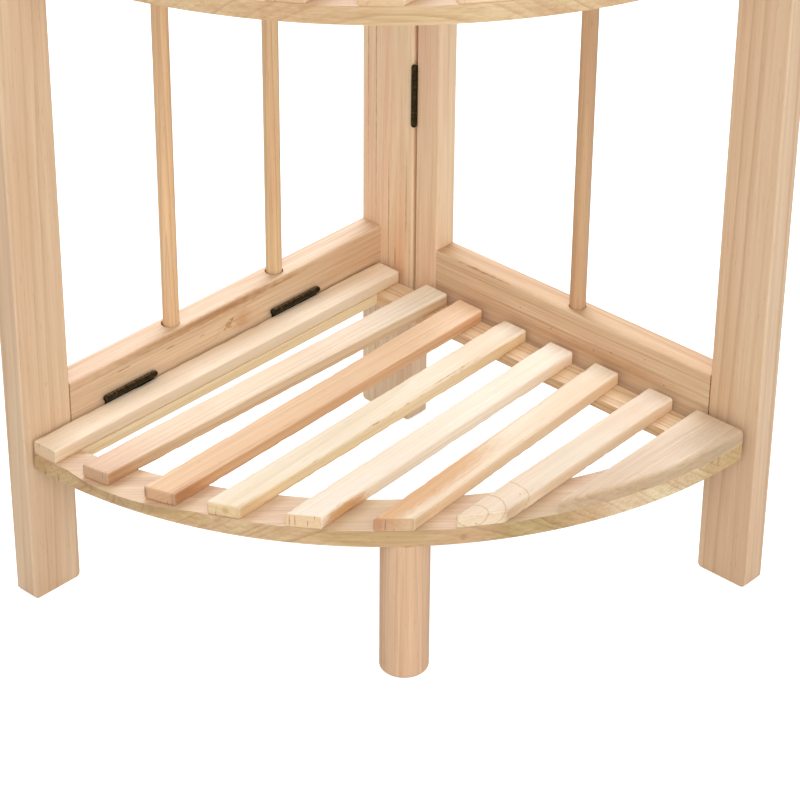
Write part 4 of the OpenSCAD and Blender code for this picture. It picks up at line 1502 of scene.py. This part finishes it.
@dataclass
class Workshop:
    """What every sub-assembly needs: the shader groups, the trees and the metals."""

    kit: ShaderKit = field(default_factory=ShaderKit)
    plan: Plan = field(default_factory=Plan)
    slats: Maker = field(default_factory=slat_maker)
    rods: Maker = field(default_factory=rod_maker)
    screws: Maker = field(default_factory=screw_maker)

    def __post_init__(self) -> None:
        """Builds the metals."""
        self.bronze = BRONZE.draw(self.kit)
        self.steel = STEEL.draw(self.kit)

    def paint(self, node: str, material: bpy.types.Material) -> None:
        """Gives a CAD node's object its material.

        Args:
            node: The node's name.
            material: The material.
        """
        mesh = frame["nodes"][node].data
        mesh.materials.clear()
        mesh.materials.append(material)
        LOG.info("%s: %s", node, material.name)

    def dress_board(self, node: str, axis: Axis, pine: Pine) -> None:
        """Dresses a straight board that the frame carries.

        Args:
            node: The node's name.
            axis: How the board lies.
            pine: Its finish.
        """
        self.paint(node, pine.draw(self.kit, f"pine {node}", NodePlace(node, axis)))

    def drive_screws(self, piece: str, node: str, body: str, material: bpy.types.Material) -> None:
        """Makes cross-recessed screws where a node's plain ones are.

        Args:
            piece: The made piece's name.
            node: The node's name.
            body: The body it rides on.
            material: The screws' material.
        """
        end_slice = 0.2 * MM
        thinnest_head = 1.5 * MM
        spin_step = 0.9
        shape = ScrewBlank()
        heads, aims, talls, sizes = [], [], [], []
        for points in islands(node):
            low, high = box_of(points)
            middle, span = (low + high) / 2, high - low
            axis = max(range(3), key=lambda n: span[n])
            near = [p for p in points if p[axis] - low[axis] < end_slice]
            wide = max(abs(p[(axis + 1) % 3] - middle[(axis + 1) % 3]) for p in near)
            from_low = wide > thinnest_head
            aim, head = Vector((0, 0, 0)), middle.copy()
            aim[axis] = 1.0 if from_low else -1.0
            head[axis] = low[axis] if from_low else high[axis]
            heads.append(head)
            aims.append(aim)
            talls.append(span[axis])
            sizes.append(span[(axis + 1) % 3] / (2 * shape.head_r * MM))
        blank = shape.build()
        spins = [spin_step * n for n in range(len(heads))]
        source = points_with(f"{node} heads", place=heads, aim=aims, tall=talls, size=sizes, spin=spins)
        made = self.screws.make(piece, source, Blank=blank, Material=material, Length=shape.length * MM)
        bpy.data.objects.remove(blank)
        self.show(made, body, slot_of(node), node)

    def show(self, piece: bpy.types.Object, body: str, slot: str, *nodes: str) -> None:
        """Makes a piece ride on its body and stand for its CAD nodes.

        Args:
            piece: The piece.
            body: The body it rides on.
            slot: The record's material slot, not used here.
            nodes: The nodes it stands for.
        """
        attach(piece, body)
        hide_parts(*nodes)
        LOG.info("%s: %d faces on %s", piece.name, len(piece.data.polygons), body)


@dataclass
class SideFrames:
    """The two side frames: posts, rails and rods."""

    shop: Workshop
    rod_d: float = 10.5
    rod_unevenness: float = 0.12
    rod_sides: int = 32
    rod_steps: int = 60
    rod_end_steps: tuple[tuple[float, float], ...] = ((0.0, 0.5), (0.5, 0.0))
    rods_high: int = 3
    rail_seed: float = 0.7
    rail_seed_step: float = 1.3
    right_seed_shift: float = 0.6
    rod_slack: tuple[Place, ...] = ((0.38, 0.35, 0.0), (-0.40, 0.43, 0.0), (-0.08, 0.16, 0.0))
    # Tones of the rails' tops, which are partly painted light and shade
    rail_top: dict[str, Colour] = field(default_factory=lambda: {
        "left": (0.96, 0.95, 0.97), "right": (0.83, 0.73, 0.62)})
    rod_seeds: dict[str, tuple[float, ...]] = field(default_factory=lambda: {
        "left": (0.05, 1.5, 2.3, 3.45, 4.2, 5.7), "right": (0.97, 1.3, 2.6)})

    def dress(self) -> None:
        """Dresses both frames."""
        posts = {
            "left_inner_stile": (Axis.UP_FACING_Y, replace(FRAME_PINE, seed=3.7, marks=STILE_MARKS)),
            "corner_board": (Axis.UP_FACING_Y, replace(
                FRAME_PINE, seed=0.2, marks=CORNER_MARKS, pith=(3.0, -24.0), taper=0.03, waviness=10.0)),
            # This stile's narrow +X face is toned lighter as painted light
            "right_inner_stile": (Axis.UP_FACING_Y, replace(
                FRAME_PINE, early=(0.80, 0.585, 0.40), blush=(0.75, 0.49, 0.33), side_tone=(1.06, 1.11, 1.11),
                seed=1.4, ring_width=3.4, ring_contrast=0.4, waviness=9.0)),
            "left_front_post": (Axis.UP_FACING_X, replace(FRONT_PINE, seed=2.9)),
            "right_front_post": (Axis.UP_FACING_Y, replace(FRONT_PINE, seed=4.3)),
        }
        for node, (axis, pine) in posts.items():
            self.shop.dress_board(node, axis, pine)
        lowest = {"left": LEFT_RAIL_MARKS, "right": RIGHT_RAIL_MARKS}
        for number, place in enumerate(("bottom", "middle", "upper", "top")):
            for side, axis in (("left", Axis.RAIL_Y), ("right", Axis.RAIL_X)):
                shift = self.right_seed_shift if side == "right" else 0.0
                seed = self.rail_seed + self.rail_seed_step * number + shift
                marks = lowest[side] if place == "bottom" else ()
                pine = replace(RAIL_PINE, seed=seed, marks=marks, side_tone=self.rail_top[side])
                self.shop.dress_board(f"{side}_{place}_rail", axis, pine)
        for node in ("left_frame_dowels", "right_frame_dowels", "shelf_pegs"):
            self.shop.dress_board(node, Axis.ALONG_Y, replace(ROD_PINE, seed=2.0))
        for side in ("left", "right"):
            self.rods(side)

    def rods(self, side: str) -> None:
        """Makes the rods of one frame from the boxes of their CAD solids.

        Args:
            side: left or right.
        """
        node = f"{side}_rods"
        feet, talls = self.rod_places(node)
        angles = [2 * math.pi * n / self.rod_sides for n in range(self.rod_sides)]
        circle = [(0.5 * math.cos(angle), 0.5 * math.sin(angle)) for angle in angles]
        blank = Blank("rod blank", circle, [1.0] * self.rod_sides, self.rod_steps, self.rod_end_steps).build()
        feet = [foot + Vector(self.rod_slack[n // self.rods_high if side == "left" else -1]) * MM
                for n, foot in enumerate(feet)]
        source = points_with(f"{side} rod feet", place=feet, foot=feet, tall=talls,
                             seed=list(self.rod_seeds[side]))
        pine = ROD_PINE if side == "left" else RIGHT_ROD_PINE
        material = pine.draw(self.shop.kit, f"pine {node}", MadePlace((0.0, 0.0, 1.0)))
        piece = self.shop.rods.make(f"{side}_round_rods", source, Blank=blank, Material=material,
                                    Diameter=self.rod_d * MM, Chip_Depth=self.rod_unevenness * MM)
        bpy.data.objects.remove(blank)
        self.shop.show(piece, "frames", slot_of(node), node)

    def rod_places(self, node: str) -> tuple[list[Vector], list[float]]:
        """Finds the foot and the height of each rod of a node.

        Args:
            node: The node's name.

        Returns:
            The rods' feet and heights.
        """
        boxes = [box_of(points) for points in islands(node)]
        boxes.sort(key=lambda box: (round(box[0].x, 4), round(box[0].y, 4), box[0].z))
        feet = [Vector(((low.x + high.x) / 2, (low.y + high.y) / 2, low.z)) for low, high in boxes]
        return feet, [high.z - low.z for low, high in boxes]


@dataclass
class Shelf:
    """One slatted shelf: its slats, bow slat, rim, battens and hinge leaves."""

    shop: Workshop
    number: int
    chip_depth: float = 0.55
    arris: float = 1.0
    slat_steps: int = 90
    slat_seed_step: float = 2.3
    rim_seed_step: float = 1.7
    bluntness: tuple[float, ...] = (0.6, 2.2, 2.8, 3.2, 0.8, 0.2, 1.2)

    @property
    def name(self) -> str:
        """The shelf's name."""
        return ("bottom", "middle", "top")[self.number]

    @property
    def body(self) -> str:
        """The body that the shelf rides on."""
        return f"{self.name}_shelf"

    def dress(self) -> None:
        """Dresses the whole shelf."""
        self.slat_pieces()
        rim = RIM_PINE.next_board(self.rim_seed_step * self.number)
        finishes = {
            "bow_slat": (Axis.ALONG_Y, BOW_PINE.next_board(self.number)),
            "rim": (Axis.CHORD, replace(rim, marks=RIM_MARKS if self.number == 0 else ())),
            "left_batten": (Axis.ALONG_Y, LEFT_BATTEN_PINE.next_board(self.number)),
            "right_batten": (Axis.ALONG_X, RIGHT_BATTEN_PINE.next_board(self.number)),
        }
        for part, (axis, pine) in finishes.items():
            self.shop.dress_board(f"{self.name}_{part}", axis, pine)
        self.shop.paint(f"{self.name}_hinge_leaves", self.shop.bronze)
        self.shop.drive_screws(f"{self.name}_cross_screws", f"{self.name}_shelf_screws", self.body,
                               self.shop.steel)

    def slat_pieces(self) -> None:
        """Makes the seven straight slats, each its own piece where the CAD has a node for each."""
        plan = self.shop.plan
        section, corners = board_section(plan.slat_w, self.thickness(), self.arris)
        blank = Blank("slat blank", section, corners, self.slat_steps).build()
        every = list(range(len(plan.slat_shift)))
        if self.number == 0:
            sets = [(f"_slat_{n + 1}", SLAT_PINES[n], [n]) for n in every]
        else:
            sets = [("_slats", UPPER_SLAT_PINE, every)]
        for ending, pine, members in sets:
            node = self.name + ending
            material = pine.draw(self.shop.kit, f"pine {node}", MadePlace())
            piece = self.shop.slats.make(
                f"{self.name}_worn{ending}", self.slat_points(members), Blank=blank, Material=material,
                Thickness=self.thickness() * MM, Front_Radius=plan.front_r * MM,
                Back=plan.at(0, plan.shelf_back).y, Chip_Depth=self.chip_depth * MM,
                Front_Centre=plan.at(plan.shelf_left + plan.front_inset, plan.shelf_back))
            self.shop.show(piece, self.body, slot_of(node), node)
        bpy.data.objects.remove(blank)

    def thickness(self) -> float:
        """Gives the slats' thickness in millimetres, from the frame."""
        low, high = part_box(f"{self.name}_bow_slat")
        return (high.z - low.z) / MM

    def slat_points(self, members: list[int]) -> bpy.types.Object:
        """Makes the points that the slat tree works on.

        Args:
            members: Which slats to lay.

        Returns:
            The object of points.
        """
        plan = self.shop.plan
        share = plan.unevenness(self.number)
        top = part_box(f"{self.name}_bow_slat")[1].z / MM
        edges = [plan.at(plan.shelf_left + n * plan.slat_pitch + plan.slat_shift[n] * share, plan.turn_y, top)
                 for n in members]
        return points_with(
            "slat places", place=edges, edge=edges,
            wide=[(plan.slat_w + plan.slat_extra[n]) * MM for n in members],
            turn=[math.radians(plan.slat_turn[n] * share) for n in members],
            bluntness=[self.bluntness[n] for n in members],
            seed=[SLAT_PINES[n].seed + self.slat_seed_step * self.number for n in members])


@dataclass
class FrontLeg:
    """The round leg under the lowest shelf."""

    shop: Workshop

    def dress(self) -> None:
        """Dresses the leg and its bolt."""
        self.shop.dress_board("front_leg", Axis.UP_FACING_Y, LEG_PINE)
        self.shop.paint("leg_bolt", self.shop.steel)


@dataclass
class Hinges:
    """The butt hinges at the corner and along the left frame."""

    shop: Workshop

    def dress(self) -> None:
        """Dresses the leaves, pins and screws that the frames carry."""
        for node in ("corner_hinge_board_leaves", "corner_hinge_stile_leaves", "corner_hinge_pins",
                     "shelf_hinge_rail_leaves", "shelf_hinge_pins"):
            self.shop.paint(node, self.shop.bronze)
        self.shop.drive_screws("hinge_cross_screws", "frame_hinge_screws", "frames", self.shop.bronze)
        self.shop.drive_screws("corner_cross_screws", "corner_board_screws", "frames", self.shop.steel)


@dataclass(frozen=True)
class Lamp:
    """A soft square light that faces the object."""

    name: str
    place: Place
    size: float
    power: float
    colour: Colour
    aim: Place = (0.0, 0.0, 0.25)

    def hang(self) -> None:
        """Adds the light to the scene."""
        light = bpy.data.lights.new(self.name, "AREA")
        light.shape = "SQUARE"
        light.size = self.size
        light.energy = self.power
        light.color = self.colour
        lamp = bpy.data.objects.new(self.name, light)
        lamp.location = self.place
        beam = Vector(self.aim) - Vector(self.place)
        lamp.rotation_euler = beam.to_track_quat("-Z", "Y").to_euler()
        bpy.context.scene.collection.objects.link(lamp)


@dataclass
class Studio:
    """A pale floor, soft light, and the camera where the photograph was taken."""

    lens: float = 135.28
    sensor: float = 36.0
    azimuth: float = 42.56
    elevation: float = 31.95
    roll: float = 0.51
    camera_place: Place = (1.04416, -1.13010, 1.09501)
    far_limit: float = 100.0
    floor_radius: float = 9.0
    floor_sides: int = 96
    floor_colour: Colour = (0.50, 0.50, 0.50)
    floor_glow: float = 0.12
    floor_seen_glow: float = 0.80
    sky_colour: Colour = (1.0, 0.945, 0.873)
    sky_strength: float = 0.66
    lamps: tuple[Lamp, ...] = (
        Lamp("back light", (-1.2, 1.2, 2.1), 1.8, 80.0, (0.75, 0.85, 1.0)),
        Lamp("front light", (1.2, -1.3, 1.6), 1.4, 19.5, (1.0, 1.0, 1.0)),
        Lamp("right light", (2.2, -0.5, 0.8), 1.2, 8.0, (1.0, 1.0, 1.0)),
    )

    def set_up(self) -> None:
        """Builds the floor, the lights and the camera."""
        self.floor()
        self.sky()
        for lamp in self.lamps:
            lamp.hang()
        self.camera()
        bpy.context.scene.view_settings.view_transform = "Standard"

    def floor(self) -> None:
        """Builds the floor, which glows a little so that it stays pale; it is not part of the object."""
        angles = [2 * math.pi * n / self.floor_sides for n in range(self.floor_sides)]
        rim = [(self.floor_radius * math.cos(angle), self.floor_radius * math.sin(angle), 0.0)
               for angle in angles]
        floor = new_object("floor", mesh_of("floor", rim, [tuple(range(self.floor_sides))]))
        g = MaterialGraph("pale floor")
        coordinates = g.add("ShaderNodeTexCoord").outputs["Object"]
        mottle = g.between(g.noise(coordinates, (3, 3, 3), detail=2), 0.3, 0.7, 0.5, 0.6)
        seen = g.add("ShaderNodeLightPath").outputs["Is Camera Ray"]
        glow = g.times_plus(seen, self.floor_seen_glow - self.floor_glow, self.floor_glow)
        g.set(Base_Color=self.floor_colour, Roughness=mottle, Specular_IOR_Level=0.2,
              Emission_Color=(1.0, 1.0, 1.0), Emission_Strength=glow)
        floor.data.materials.append(g.material)

    def sky(self) -> None:
        """Gives the scene an even surround, which looks white and lights the object more softly."""
        world = bpy.data.worlds.new("studio")
        world.use_nodes = True
        g = Graph(world.node_tree)
        background = world.node_tree.nodes["Background"]
        seen = g.add("ShaderNodeLightPath").outputs["Is Camera Ray"]
        g.feed(background.inputs["Color"], g.mix_colour(seen, self.sky_colour, (1.0, 1.0, 1.0)))
        lit = g.times_plus(seen, 1.0 - self.sky_strength, self.sky_strength)
        g.feed(background.inputs["Strength"], lit)
        bpy.context.scene.world = world

    def camera(self) -> None:
        """Puts the camera where it was fitted to the photograph."""
        az, el, roll = (math.radians(a) for a in (self.azimuth, self.elevation, self.roll))
        back = Vector((math.sin(az) * math.cos(el), -math.cos(az) * math.cos(el), math.sin(el)))
        level = Vector((math.cos(az), math.sin(az), 0.0))
        upright = back.cross(level)
        right = level * math.cos(roll) + upright * math.sin(roll)
        up = back.cross(right)
        data = bpy.data.cameras.new("camera")
        data.lens = self.lens
        data.sensor_width = self.sensor
        data.clip_end = self.far_limit
        camera = bpy.data.objects.new("camera", data)
        turn = Matrix((right, up, back)).transposed().to_4x4()
        camera.matrix_world = Matrix.Translation(Vector(self.camera_place)) @ turn
        bpy.context.scene.collection.objects.link(camera)
        bpy.context.scene.camera = camera


def main() -> None:
    """Dresses every sub-assembly in order and sets up the studio."""
    logging.basicConfig(level=logging.INFO, format="%(name)s: %(message)s")
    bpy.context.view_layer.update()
    shop = Workshop()
    SideFrames(shop).dress()
    for number in range(3):
        Shelf(shop, number).dress()
    FrontLeg(shop).dress()
    Hinges(shop).dress()
    Studio().set_up()


if __name__ == "__main__":
    main()
